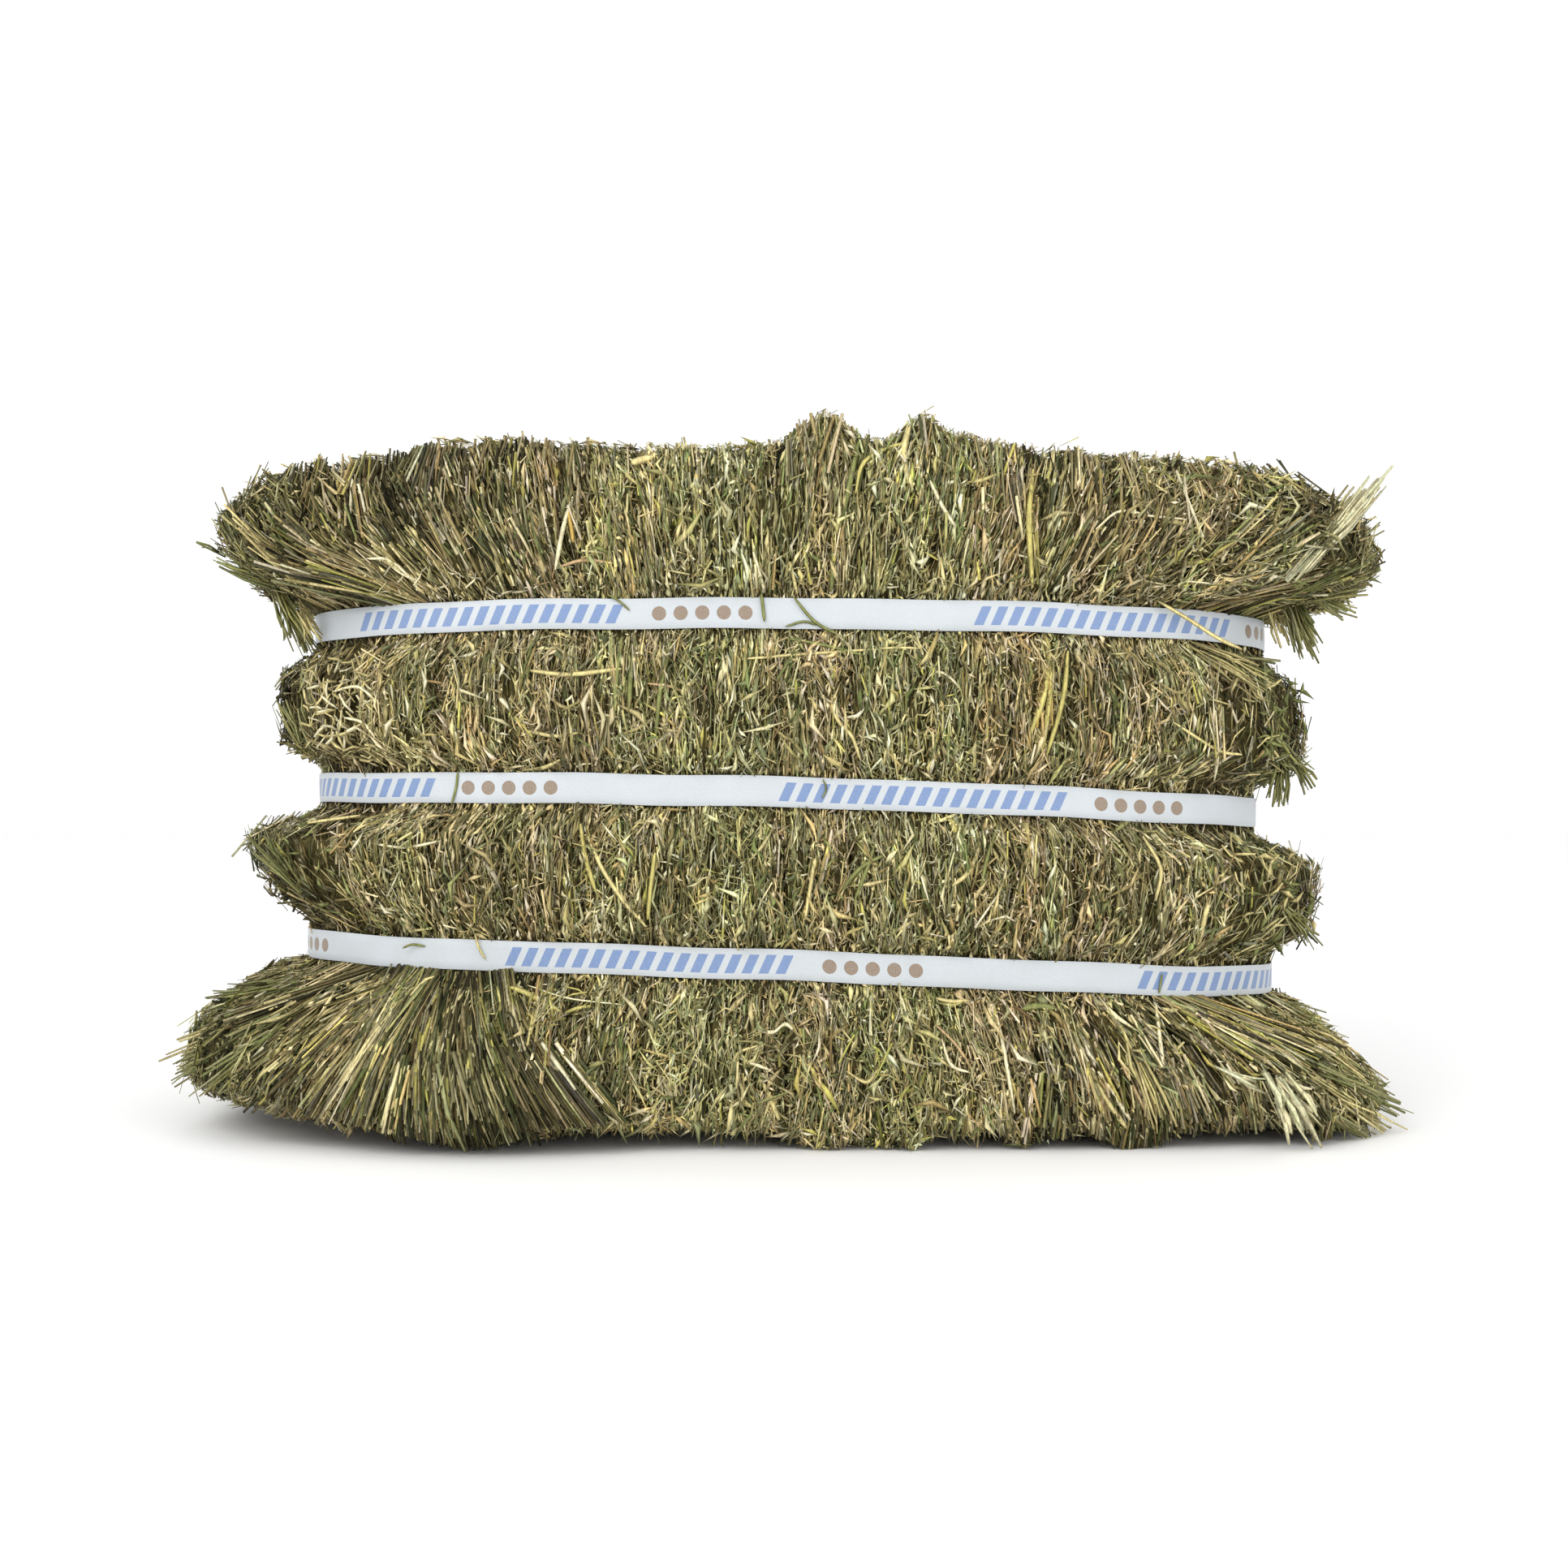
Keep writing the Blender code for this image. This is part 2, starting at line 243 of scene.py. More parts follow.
def hay_point(index, along, deep, up):
    """A point of a flake with its relief.

    The sides get lumps and a crease beside each neighbour, the ends get grooves between their locks,
    the lower rim is lifted between the tufts that reach the floor, and the top is lumpy.
    """
    point = place_point(along, deep, up)
    left = edge_share(index, deep, up)
    right = edge_share(index + 1, deep, up)
    across = np.clip((along - left) / (right - left), 0.0, 1.0)
    beside = np.clip(1.0 - 5.0 * np.minimum(across, 1.0 - across), 0.0, 1.0)
    free = free_of_straps(up)
    swell = LOCK_SWELL * (1.0 + lumps(point[..., 0], point[..., 2], 5))
    side = (swell - FLAKE_GROOVE * beside**2) * free * np.clip((np.abs(deep) - 0.9) / 0.1, 0.0, 1.0)
    point[..., 1] += np.sign(deep) * side
    groove = np.interp(deep, END_LAYERS, END_DEPTH)
    ragged = END_RELIEF * lumps(point[..., 1], point[..., 2], 9) - END_SINK
    end = (ragged - groove) * free * np.clip((np.abs(along) - 0.97) / 0.03, 0.0, 1.0)
    point[..., 0] += np.sign(along) * end
    low = np.clip((0.05 - up) / 0.05, 0.0, 1.0) * np.clip((np.abs(deep) - 0.5) / 0.5, 0.0, 1.0)
    ragged = 0.8 + 0.2 * lumps(0.7 * point[..., 0], point[..., 1], 17)
    point[..., 2] += low * lifted_edge(point[..., 0]) * ragged.clip(0.3, 1.2)
    top = np.clip((up - 0.97) / 0.03, 0.0, 1.0)
    uneven = TOP_RELIEF * lumps(1.4 * point[..., 0], 2.0 * point[..., 1], 13) - TOP_CREASE * beside
    point[..., 2] += top * uneven
    return point


# %% Straps as outlines in plan, and the hay pressed under them
OUTLINE_POINTS = 400
STRAP_STAND_OFF = 0.0011
STRAP_THICKNESS = 0.0008
UNDER_STRAP = 0.0009
# Beside a strap the hay may rise again at this slope, and past this reach it is left alone
PRESS_SLOPE = 1.2
PRESS_REACH = 0.004


def strap_loop(name):
    """The taut outline of one strap in plan, from the front's middle round by +X.

    The four sides of the rounded block are joined, moved out along their normals and measured off in
    equal lengths.
    """
    up = STRAPS[name][0]
    share = np.linspace(-1.0, 1.0, 400)[:-1]
    one = np.ones_like(share)
    sides = ((share, -one), (one, share), (-share, one), (-one, -share))
    loop = np.concatenate([place_point(a, d, up * one)[:, :2] for a, d in sides])
    tangent = np.roll(loop, -1, axis=0) - np.roll(loop, 1, axis=0)
    normal = np.stack((tangent[:, 1], -tangent[:, 0]), axis=1)
    loop = loop + STRAP_STAND_OFF * normal / np.linalg.norm(normal, axis=1)[:, None]
    start = np.argmin(np.abs(loop[:400, 0]))
    loop = np.roll(loop, -start, axis=0)
    closed = np.vstack((loop, loop[:1]))
    length = np.concatenate(([0.0], np.cumsum(np.linalg.norm(np.diff(closed, axis=0), axis=1))))
    at = np.linspace(0.0, length[-1], OUTLINE_POINTS + 1)[:-1]
    even = np.stack([np.interp(at, length, closed[:, axis]) for axis in (0, 1)], axis=1)
    return even, at, length[-1]


LOOPS = {name: strap_loop(name) for name in STRAPS}


def polar(points):
    """Angle and distance of plan points from the upright line through the block's middle."""
    x, y = points[..., 0], points[..., 1] - BLOCK_BACK
    return np.arctan2(y, x), np.hypot(x, y)


def press_under_straps(points):
    """Pull every point that stands in or over a strap back to just under it."""
    for name, (loop, _, _) in LOOPS.items():
        angle, radius = polar(loop)
        order = np.argsort(angle)
        at, distance = polar(points)
        limit = np.interp(at, angle[order], radius[order], period=2.0 * math.pi) - UNDER_STRAP
        middle = strap_height(name, points[..., 0])
        apart = np.abs(points[..., 2] - middle) - 0.5 * STRAP_WIDTH
        room = limit + np.clip(apart, 0.0, None) * PRESS_SLOPE
        near = (apart < PRESS_REACH) & (distance > room)
        scale = np.where(near, room / distance, 1.0)
        points[..., 0] *= scale
        points[..., 1] = BLOCK_BACK + (points[..., 1] - BLOCK_BACK) * scale
    return points


for name, (_, _, length) in LOOPS.items():
    print(name, "is", round(1000.0 * length), "mm long")

# %% [markdown]
# ## Colours of dry hay
#
# Cured grass keeps some green, leaves turn olive and grey, and stems bleach to straw and cream. Each
# stem gets one of these colours, drawn by chance. Stems of one lock grew side by side, so a lock leans
# to one brightness as a whole. The colours could come from a texture, but a colour kept at each vertex
# follows the stem exactly and survives an export.


# %% Colour helpers
def linear(hex_colour):
    """An sRGB hex colour as linear red, green and blue."""
    value = np.array([int(hex_colour[i : i + 2], 16) / 255.0 for i in (1, 3, 5)])
    return np.where(value <= 0.04045, value / 12.92, ((value + 0.055) / 1.055) ** 2.4)


# Each colour with its share of the stems; the pale ones come first
HAY_COLOURS = (
    ("#fbf3cf", 0.07),
    ("#e2d7a8", 0.16),
    ("#c8ba86", 0.20),
    ("#a89e69", 0.18),
    ("#b09b66", 0.06),
    ("#8b8d64", 0.12),
    ("#747c4b", 0.08),
    ("#b6af60", 0.05),
    ("#a18c5e", 0.05),
    ("#786f4a", 0.05),
)
# Painted shade: the colour of the heart, seen in the gaps between stems
SHADOW = linear("#4c4426")
STALK_CREAM = linear("#f3e9c0")
STALK_STRAW = linear("#dccd90")
STALK_YELLOW = linear("#c8bd74")
STALK_GOLD = linear("#cfae62")
STALK_GREEN = linear("#868a55")
STALK_PINK = linear("#c9ab80")
STALK_BROWN = linear("#5c5232")
# Painted shade: the colour of the dark patches in hollows and gaps
PAINTED_SHADE = linear("#2f2815")
LOCK_WIDTH = 0.008
LOCK_HEIGHT = 0.026
LAYER_WIDTH = 0.014
BRIGHTEST = 0.88
# How brightly the stems are drawn, and how much more below the lowest strap, as painted light against the
# shade near the floor
BRIGHTNESS = 1.22
LOW_PAINTED_LIGHT = 0.12
LOW_END = 0.24


def lock_value(first, second, seed):
    """One random share for every lock.

    The two places on a face are swayed by sines and cut into cells, and the sine of a large sum of the
    cell's numbers has fractions that look random.
    """
    a = first / LOCK_WIDTH + 0.45 * np.sin(second / 0.011 + seed)
    column = np.floor(a)
    row = np.floor(second / LOCK_HEIGHT + 0.37 * column + 0.4 * np.sin(first / 0.007 + seed))
    wild = np.sin(12.9898 * column + 78.233 * row + 3.7 * seed) * 43758.5453
    return wild - np.floor(wild)


def layer_place(x, up):
    """Number of the pressed layer at a place, and how near the seam between two layers is.

    The place along the bale is swayed by sines of the height and cut into layers of about 14 mm.
    """
    sway = (x + 0.004 * np.sin(9.0 * up) + 0.0015 * np.sin(31.0 * up + 40.0 * x)) / LAYER_WIDTH
    sway = sway + 0.3 * np.sin(2.1 * sway)
    layer = np.floor(sway)
    inside = sway - layer
    return layer, np.exp(-((np.minimum(inside, 1.0 - inside) / 0.075) ** 2))


def layer_cast(x, up):
    """Brightness and greenness of the layers, random for each, with painted shade in the seam between two.
    """
    layer, seam = layer_place(x, up)
    wild = np.sin(91.7 * layer + 4.0) * 9871.3
    other = np.sin(37.3 * layer + 1.0) * 7351.1
    # Painted shade: the seam between two layers is drawn darker
    return 0.86 + 0.30 * (wild - np.floor(wild)) - 0.28 * seam, other - np.floor(other) - 0.5


def draw_colours(rng, first, second, x, up, pale=0.0):
    """One colour for each stem: a palette colour, dimmed or lit by chance, by its lock and its layer.

    pale is the share by which the draw leans to the light end of the palette. Beside a strap the stems
    are drawn paler and lean to straw: painted light against the shade where the hay dips under the strap.
    Below the lowest strap they are drawn brighter: painted light against the shade near the floor. The
    seam between two layers carries painted shade.
    """
    palette = np.array([linear(colour) for colour, _ in HAY_COLOURS])
    share = np.array([weight for _, weight in HAY_COLOURS])
    steps = np.cumsum(share) / share.sum()
    away = np.min([np.abs(up - place) for place in STRAP_SHARES], axis=0)
    # Painted light: beside a strap the stems are drawn paler and lean to straw, against the shade where the
    # hay dips under it
    painted_light_by_strap = np.exp(-(((away - 0.02) / 0.04) ** 2))
    draw = rng.uniform(0.0, 1.0, len(x)) * (1.0 - 0.55 * pale) * (1.0 - 0.25 * painted_light_by_strap)
    colour = palette[np.searchsorted(steps, draw).clip(0, len(steps) - 1)]
    # Painted light: below the lowest strap the stems are drawn brighter
    bright = BRIGHTNESS + LOW_PAINTED_LIGHT * (up < LOW_END)
    chance = bright * np.exp(rng.normal(0.0, 0.22, len(x))) * (1.0 + 0.16 * painted_light_by_strap)
    lock = 0.66 + 0.60 * lock_value(first, second, 2.0)
    lock = lock * np.exp(0.13 * lumps(0.22 * first, 0.35 * second, 41))
    layer, green = layer_cast(x, up)
    green = green + lock_value(first, second, 7.0) - 0.5
    colour = colour * (layer * chance * lock)[:, None]
    colour = colour * (1.0 + green[:, None] * np.array([-0.10, 0.02, -0.05]))
    return colour * np.minimum(1.0, BRIGHTEST / colour.max(axis=1, keepdims=True))


print("palette", [colour for colour, _ in HAY_COLOURS])

# %% [markdown]
# ## Patches of colour and of painted shade
#
# A bale is not even: its hollows and gaps lie in shade, which is painted here as dark patches, and other
# spots are bleached or hold a lock of another colour. Noise could place them, but then none would sit
# where the eye expects it, such as in the hollows of the corners. So they are listed one by one, each as
# a soft oval. Its place is a pixel of a 1932-pixel picture taken from straight ahead.

# %% The camera's place and the patches
PICTURE = 1932.0
PIXEL = 0.0005
EYE_DISTANCE = 1.2
EYE_HEIGHT = 0.225
FRONT_DEPTH = 0.172
EYE = np.array([0.0, BLOCK_BACK - FRONT_DEPTH - EYE_DISTANCE, EYE_HEIGHT])
# Colour, share of the colour at the middle, middle pixel and half sizes in pixels
PATCHES = (
    # The dark patches are painted shade in hollows and gaps; the others are colours of the hay
    (PAINTED_SHADE, 0.90, (490, 618), (28, 54)),
    (PAINTED_SHADE, 0.35, (570, 596), (40, 30)),
    (PAINTED_SHADE, 0.85, (272, 1284), (36, 28)),
    (PAINTED_SHADE, 0.45, (300, 1215), (44, 14)),
    (PAINTED_SHADE, 0.88, (348, 884), (22, 66)),
    (PAINTED_SHADE, 0.50, (372, 800), (16, 18)),
    (PAINTED_SHADE, 0.50, (340, 1060), (40, 26)),
    (PAINTED_SHADE, 0.55, (384, 1115), (26, 42)),
    (PAINTED_SHADE, 0.32, (585, 1075), (38, 60)),
    (PAINTED_SHADE, 0.85, (1600, 640), (26, 30)),
    (PAINTED_SHADE, 0.60, (1640, 680), (30, 24)),
    (PAINTED_SHADE, 0.50, (1684, 694), (26, 20)),
    (PAINTED_SHADE, 0.35, (1570, 750), (26, 24)),
    (PAINTED_SHADE, 0.42, (1584, 930), (24, 64)),
    (PAINTED_SHADE, 0.35, (1565, 1110), (32, 32)),
    (PAINTED_SHADE, 0.40, (1140, 1370), (26, 32)),
    (PAINTED_SHADE, 0.45, (640, 1345), (20, 50)),
    (PAINTED_SHADE, 0.55, (742, 1330), (18, 60)),
    (PAINTED_SHADE, 0.32, (300, 650), (44, 40)),
    (PAINTED_SHADE, 0.14, (330, 690), (120, 90)),
    (PAINTED_SHADE, 0.45, (320, 1350), (70, 18)),
    (PAINTED_SHADE, 0.40, (1022, 560), (24, 44)),
    (PAINTED_SHADE, 0.30, (700, 640), (20, 60)),
    (PAINTED_SHADE, 0.30, (860, 880), (16, 50)),
    (STALK_STRAW, 0.60, (500, 712), (42, 24)),
    (STALK_STRAW, 0.45, (590, 706), (40, 16)),
    (STALK_STRAW, 0.42, (440, 880), (46, 60)),
    (STALK_STRAW, 0.35, (490, 925), (66, 22)),
    (STALK_STRAW, 0.40, (1062, 650), (14, 84)),
    (STALK_STRAW, 0.22, (745, 870), (60, 26)),
    (STALK_STRAW, 0.40, (430, 1202), (60, 24)),
    (STALK_STRAW, 0.30, (395, 1290), (26, 60)),
    (STALK_STRAW, 0.25, (620, 1008), (70, 18)),
    (STALK_STRAW, 0.30, (1390, 1060), (18, 60)),
    (STALK_STRAW, 0.30, (1240, 1340), (20, 46)),
    (STALK_CREAM, 0.55, (1582, 1360), (28, 26)),
    (STALK_GOLD, 0.35, (1282, 860), (20, 64)),
    (STALK_GOLD, 0.35, (730, 640), (12, 40)),
    (STALK_GOLD, 0.30, (1272, 650), (12, 60)),
    (STALK_PINK, 0.45, (1180, 1300), (26, 42)),
    (STALK_PINK, 0.30, (1440, 650), (90, 40)),
    (STALK_GREEN, 0.35, (850, 1310), (60, 36)),
    (STALK_GREEN, 0.40, (560, 1310), (110, 90)),
    (STALK_GREEN, 0.35, (300, 1270), (110, 60)),
    (STALK_GREEN, 0.30, (320, 640), (110, 80)),
    (STALK_STRAW, 0.30, (1640, 1345), (100, 60)),
    (STALK_GREEN, 0.30, (1640, 700), (60, 70)),
    (STALK_GREEN, 0.35, (960, 640), (50, 50)),
    (STALK_GREEN, 0.30, (470, 1060), (50, 40)),
)


def patched(points, colour):
    """Mix the patches' colours into stems on the front half, by a bell-shaped share of the distance.

    The patch colour keeps the stem's own brightness, so that single stems still differ.
    """
    reach = (points[:, 1] - EYE[1]) * PIXEL / EYE_DISTANCE
    px = 0.5 * PICTURE + (points[:, 0] - EYE[0]) / reach
    py = 0.5 * PICTURE - (points[:, 2] - EYE[2]) / reach
    front = points[:, 1] < BLOCK_BACK
    own = 0.35 + 1.6 * colour.mean(axis=1, keepdims=True)
    for tone, strength, middle, half in PATCHES:
        apart = ((px - middle[0]) / half[0]) ** 2 + ((py - middle[1]) / half[1]) ** 2
        share = strength * front * np.exp(-apart)
        colour = colour + (tone * own - colour) * share[:, None]
    return colour


print("patches", len(PATCHES))

# %% [markdown]
# ## Three cheap forms for very many stems
#
# Hardly a stem is wider than four millimetres, so a few faces are enough if they are the right ones. A
# cut stem is a three-sided bar with closed ends. A leaf is the same bar with both ends drawn to a
# point. A sliver is the thinnest closed solid there is: four triangles between an edge that lies flat
# and an edge that stands upright. Each form is written down once, and numpy repeats it for all stems.


# %% The forms: corners along the stem, faces and map places
def bar_form(rings, pointed):
    """Faces of a three-sided bar of some rings, counted from the root, with its places in a unit map."""
    ring = np.arange(rings - 1)[:, None]
    turn = np.arange(3)[None, :]
    corner, beside = ring * 3 + turn, ring * 3 + (turn + 1) % 3
    quads = np.stack((corner, beside, beside + 3, corner + 3), -1)
    low = ring / (rings - 1) + 0.0 * turn
    high = low + 1.0 / (rings - 1)
    flat = np.zeros_like(low)
    quad_map = np.stack((flat, low, flat + 1.0, low, flat + 1.0, high, flat, high), -1).reshape(-1, 4, 2)
    quads = quads.reshape(-1, 4)
    last = 3 * (rings - 1)
    if not pointed:
        tris = np.array([[2, 1, 0], [last, last + 1, last + 2]])
        tri_map = np.array([[[0.0, 0.0], [1.0, 0.0], [0.5, 0.3]], [[0.0, 1.0], [1.0, 1.0], [0.5, 0.7]]])
        return quads, tris, quad_map, tri_map
    root, tip = last + 3, last + 4
    step = np.arange(3)
    at_root = np.stack(((step + 1) % 3, step, np.full(3, root)), -1)
    at_tip = np.stack((last + step, last + (step + 1) % 3, np.full(3, tip)), -1)
    quad_map = quad_map * [1.0, 0.4] + [0.0, 0.3]
    root_map = np.array([[[1.0, 0.3], [0.0, 0.3], [0.5, 0.0]]] * 3)
    tip_map = np.array([[[0.0, 0.7], [1.0, 0.7], [0.5, 1.0]]] * 3)
    return quads, np.concatenate((at_root, at_tip)), quad_map, np.concatenate((root_map, tip_map))


def leaf_form():
    """A leaf has one ring and two points: six triangles."""
    step = np.arange(3)
    at_root = np.stack(((step + 1) % 3, step, np.full(3, 3)), -1)
    at_tip = np.stack((step, (step + 1) % 3, np.full(3, 4)), -1)
    root_map = np.array([[[1.0, 0.5], [0.0, 0.5], [0.5, 0.0]]] * 3)
    tip_map = np.array([[[0.0, 0.5], [1.0, 0.5], [0.5, 1.0]]] * 3)
    none = np.zeros((0, 4), int)
    return none, np.concatenate((at_root, at_tip)), np.zeros((0, 4, 2)), np.concatenate((root_map, tip_map))


def sliver_form():
    """A sliver has a flat edge at its root and an upright edge at its tip: four triangles."""
    tris = np.array([[0, 1, 2], [1, 0, 3], [2, 3, 0], [3, 2, 1]])
    up = [[0.0, 0.0], [1.0, 0.0], [0.5, 1.0]]
    down = [[0.0, 1.0], [1.0, 1.0], [0.5, 0.0]]
    return np.zeros((0, 4), int), tris, np.zeros((0, 4, 2)), np.array([up, up, down, down])


def bar_points(path, side, out, width, thick):
    """Three corners at each path point: left, right and the ridge on the outer side."""
    across = side[:, None, :] * width[..., None] * 0.5
    raised = out[:, None, :] * thick[..., None]
    return np.stack((path - across, path + across, path + raised), axis=2).reshape(len(path), -1, 3)


def form_points(kind, path, side, out, width, thick):
    """Corners of all stems of one form."""
    if kind == "cut":
        return bar_points(path, side, out, width, thick)
    if kind == "leaf":
        inner = bar_points(path[:, 1:-1], side, out, width[:, 1:-1], thick[:, 1:-1])
        return np.concatenate((inner, path[:, :1], path[:, -1:]), axis=1)
    across = side * width[:, :1] * 0.5
    upright = out * thick[:, -1:] * 0.5
    root, tip = path[:, 0], path[:, -1]
    return np.stack((root - across, root + across, tip - upright, tip + upright), axis=1)


def form_tints(kind, colour, shade):
    """The stem's colour times the shade at each corner: painted shade and random brightness."""
    if kind == "cut":
        steps = np.repeat(shade, 3, axis=1)
    elif kind == "leaf":
        steps = np.concatenate((np.repeat(shade[:, 1:-1], 3, axis=1), shade[:, :1], shade[:, -1:]), axis=1)
    else:
        steps = np.repeat(shade[:, [0, -1]], 2, axis=1)
    return colour[:, None, :] * steps[..., None]


def form_of(kind, rings):
    """Faces and map of one form; a leaf loses its two end rings to points."""
    if kind == "sliver":
        return sliver_form()
    if kind == "cut":
        return bar_form(rings, False)
    return leaf_form() if rings == 3 else bar_form(rings - 2, True)


# %% [markdown]
# ## One mesh for each flake
#
# Each piece gets a flat map for baking, and a stem needs a place of its own there. The lower part
# of the map is kept for the heart of the flake, and the rest is cut into as many small cells as the
# flake has stems.

# %% The mesh builder
HEART_MAP_SHARE = 0.22
CELL_EDGE = 0.12
CELL_STRETCH = 1.6
LOWEST = 0.0003


def map_cells(first, count, total):
    """Corner and size of the map cells of some stems, counted row by row."""
    columns = math.ceil(math.sqrt(total * CELL_STRETCH))
    rows = math.ceil(total / columns)
    number = first + np.arange(count)
    size = np.array([1.0 / columns, (1.0 - HEART_MAP_SHARE) / rows])
    left, low = number % columns * size[0], HEART_MAP_SHARE + number // columns * size[1]
    return np.stack((left, low), axis=1)[:, None, None, :], size


class HayMesh:
    """Collects the heart and the stems of one flake, then writes them as one mesh."""

    def __init__(self):
        self.solids = []
        self.stems = []

    def add_solid(self, points, colour, quads, tris, quad_map, tri_map):
        """Add one closed body whose map places are already final."""
        colours = colour * np.ones_like(points)
        self.solids.append((points, colours, quads, tris, quad_map, tri_map))

    def add_stems(self, kind, path, side, out, width, thick, colour, shade, free=False):
        """Add stems of one form: pressed under the straps unless they are free, and lifted off the floor."""
        points = form_points(kind, path, side, out, width, thick)
        points = points if free else press_under_straps(points)
        points[..., 2] += (LOWEST - points[..., 2].min(axis=1, keepdims=True)).clip(0.0)
        self.stems.append((points, form_tints(kind, colour, shade), form_of(kind, path.shape[1])))

    def write(self, name, materials):
        """Make the object: all quads first, then all triangles; the heart comes first in both."""
        total = sum(len(points) for points, _, _ in self.stems)
        parts = list(self.solids)
        first = 0
        for points, tints, (quads, tris, quad_map, tri_map) in self.stems:
            base = (np.arange(len(points)) * points.shape[1])[:, None, None]
            corner, size = map_cells(first, len(points), total)
            inset = 1.0 - 2.0 * CELL_EDGE
            parts.append((
                points.reshape(-1, 3), tints.reshape(-1, 3), base + quads, base + tris,
                corner + (CELL_EDGE + inset * quad_map) * size,
                corner + (CELL_EDGE + inset * tri_map) * size,
            ))
            first += len(points)
        counts = np.cumsum([0] + [len(part[0]) for part in parts])
        points = np.concatenate([part[0] for part in parts])
        colours = np.concatenate([part[1] for part in parts])
        quads = np.concatenate([part[2].reshape(-1, 4) + start for part, start in zip(parts, counts)])
        tris = np.concatenate([part[3].reshape(-1, 3) + start for part, start in zip(parts, counts)])
        places = [part[4].reshape(-1, 2) for part in parts] + [part[5].reshape(-1, 2) for part in parts]
        loops = np.concatenate((quads.ravel(), tris.ravel())).astype(np.int32)
        starts = np.concatenate((np.arange(len(quads)) * 4, 4 * len(quads) + np.arange(len(tris)) * 3))
        mesh = bpy.data.meshes.new(name)
        mesh.vertices.add(len(points))
        mesh.loops.add(len(loops))
        mesh.polygons.add(len(starts))
        mesh.vertices.foreach_set("co", points.astype(np.float32).ravel())
        mesh.loops.foreach_set("vertex_index", loops)
        mesh.polygons.foreach_set("loop_start", starts.astype(np.int32))
        mesh.update(calc_edges=True)
        # Vertex colours: each stem's colour times its painted shade
        colour_and_shade = mesh.attributes.new("colour_and_shade", "FLOAT_COLOR", "POINT")
        rgba = np.concatenate((colours, np.ones((len(points), 1))), axis=1)
        colour_and_shade.data.foreach_set("color", rgba.astype(np.float32).ravel())
        layer = mesh.uv_layers.new(name="OFBake")
        layer.data.foreach_set("uv", np.concatenate(places).astype(np.float32).ravel())
        for finish in materials:
            mesh.materials.append(finish)
        heart_quads, heart_tris = parts[0][2].size // 4, parts[0][3].size // 3
        slots = np.zeros(len(starts), np.int32)
        slots[:heart_quads] = 1
        slots[len(quads) : len(quads) + heart_tris] = 1
        mesh.polygons.foreach_set("material_index", slots)
        piece = bpy.data.objects.new(name, mesh)
        bpy.context.scene.collection.objects.link(piece)
        print(name, "stems", total, "triangles", 2 * len(quads) + len(tris))
        return piece


# %% [markdown]
# ## The dark heart of a flake
#
# Behind the stems that can be told apart lies hay packed so tightly that, in shade, it reads as one dark,
# streaky mass. A closed sheet stands for it, its dark and streaky colour painted shade: a ring round the
# flake is carried from the middle of the bottom, out to its rim, up the sides and in again over the top,
# and both ends close in a single point.

# %% The heart as one surface of two parameters
RING_FRONT = 12
RING_INNER_SIDE = 4
RING_END_SIDE = 18
HEART_UP = 64
HEART_CAP = 7
HEART_SINK = 0.0036
SIDE_SINK = 0.0005
HEART_LOWEST = 0.001
INNER_HALF_LENGTH = 0.26
BACK_LIGHTER = 0.9


def unit(vectors):
    """Vectors scaled to length one."""
    return vectors / (np.linalg.norm(vectors, axis=-1, keepdims=True) + 1e-9)


def heart_ring(index):
    """Shares round one flake: across its front, back along one side, across its back and forward."""
    front = np.linspace(0.0, 1.0, RING_FRONT + 1)[:-1]
    right = RING_END_SIDE if index == FLAKE_COUNT - 1 else RING_INNER_SIDE
    left = RING_END_SIDE if index == 0 else RING_INNER_SIDE
    side_right = np.linspace(-1.0, 1.0, right + 1)[:-1]
    side_left = np.linspace(-1.0, 1.0, left + 1)[:-1]
    across = np.concatenate((front, np.ones(right), 1.0 - front, np.zeros(left)))
    deep = np.concatenate((-np.ones(RING_FRONT), side_right, np.ones(RING_FRONT), -side_left))
    return across, deep


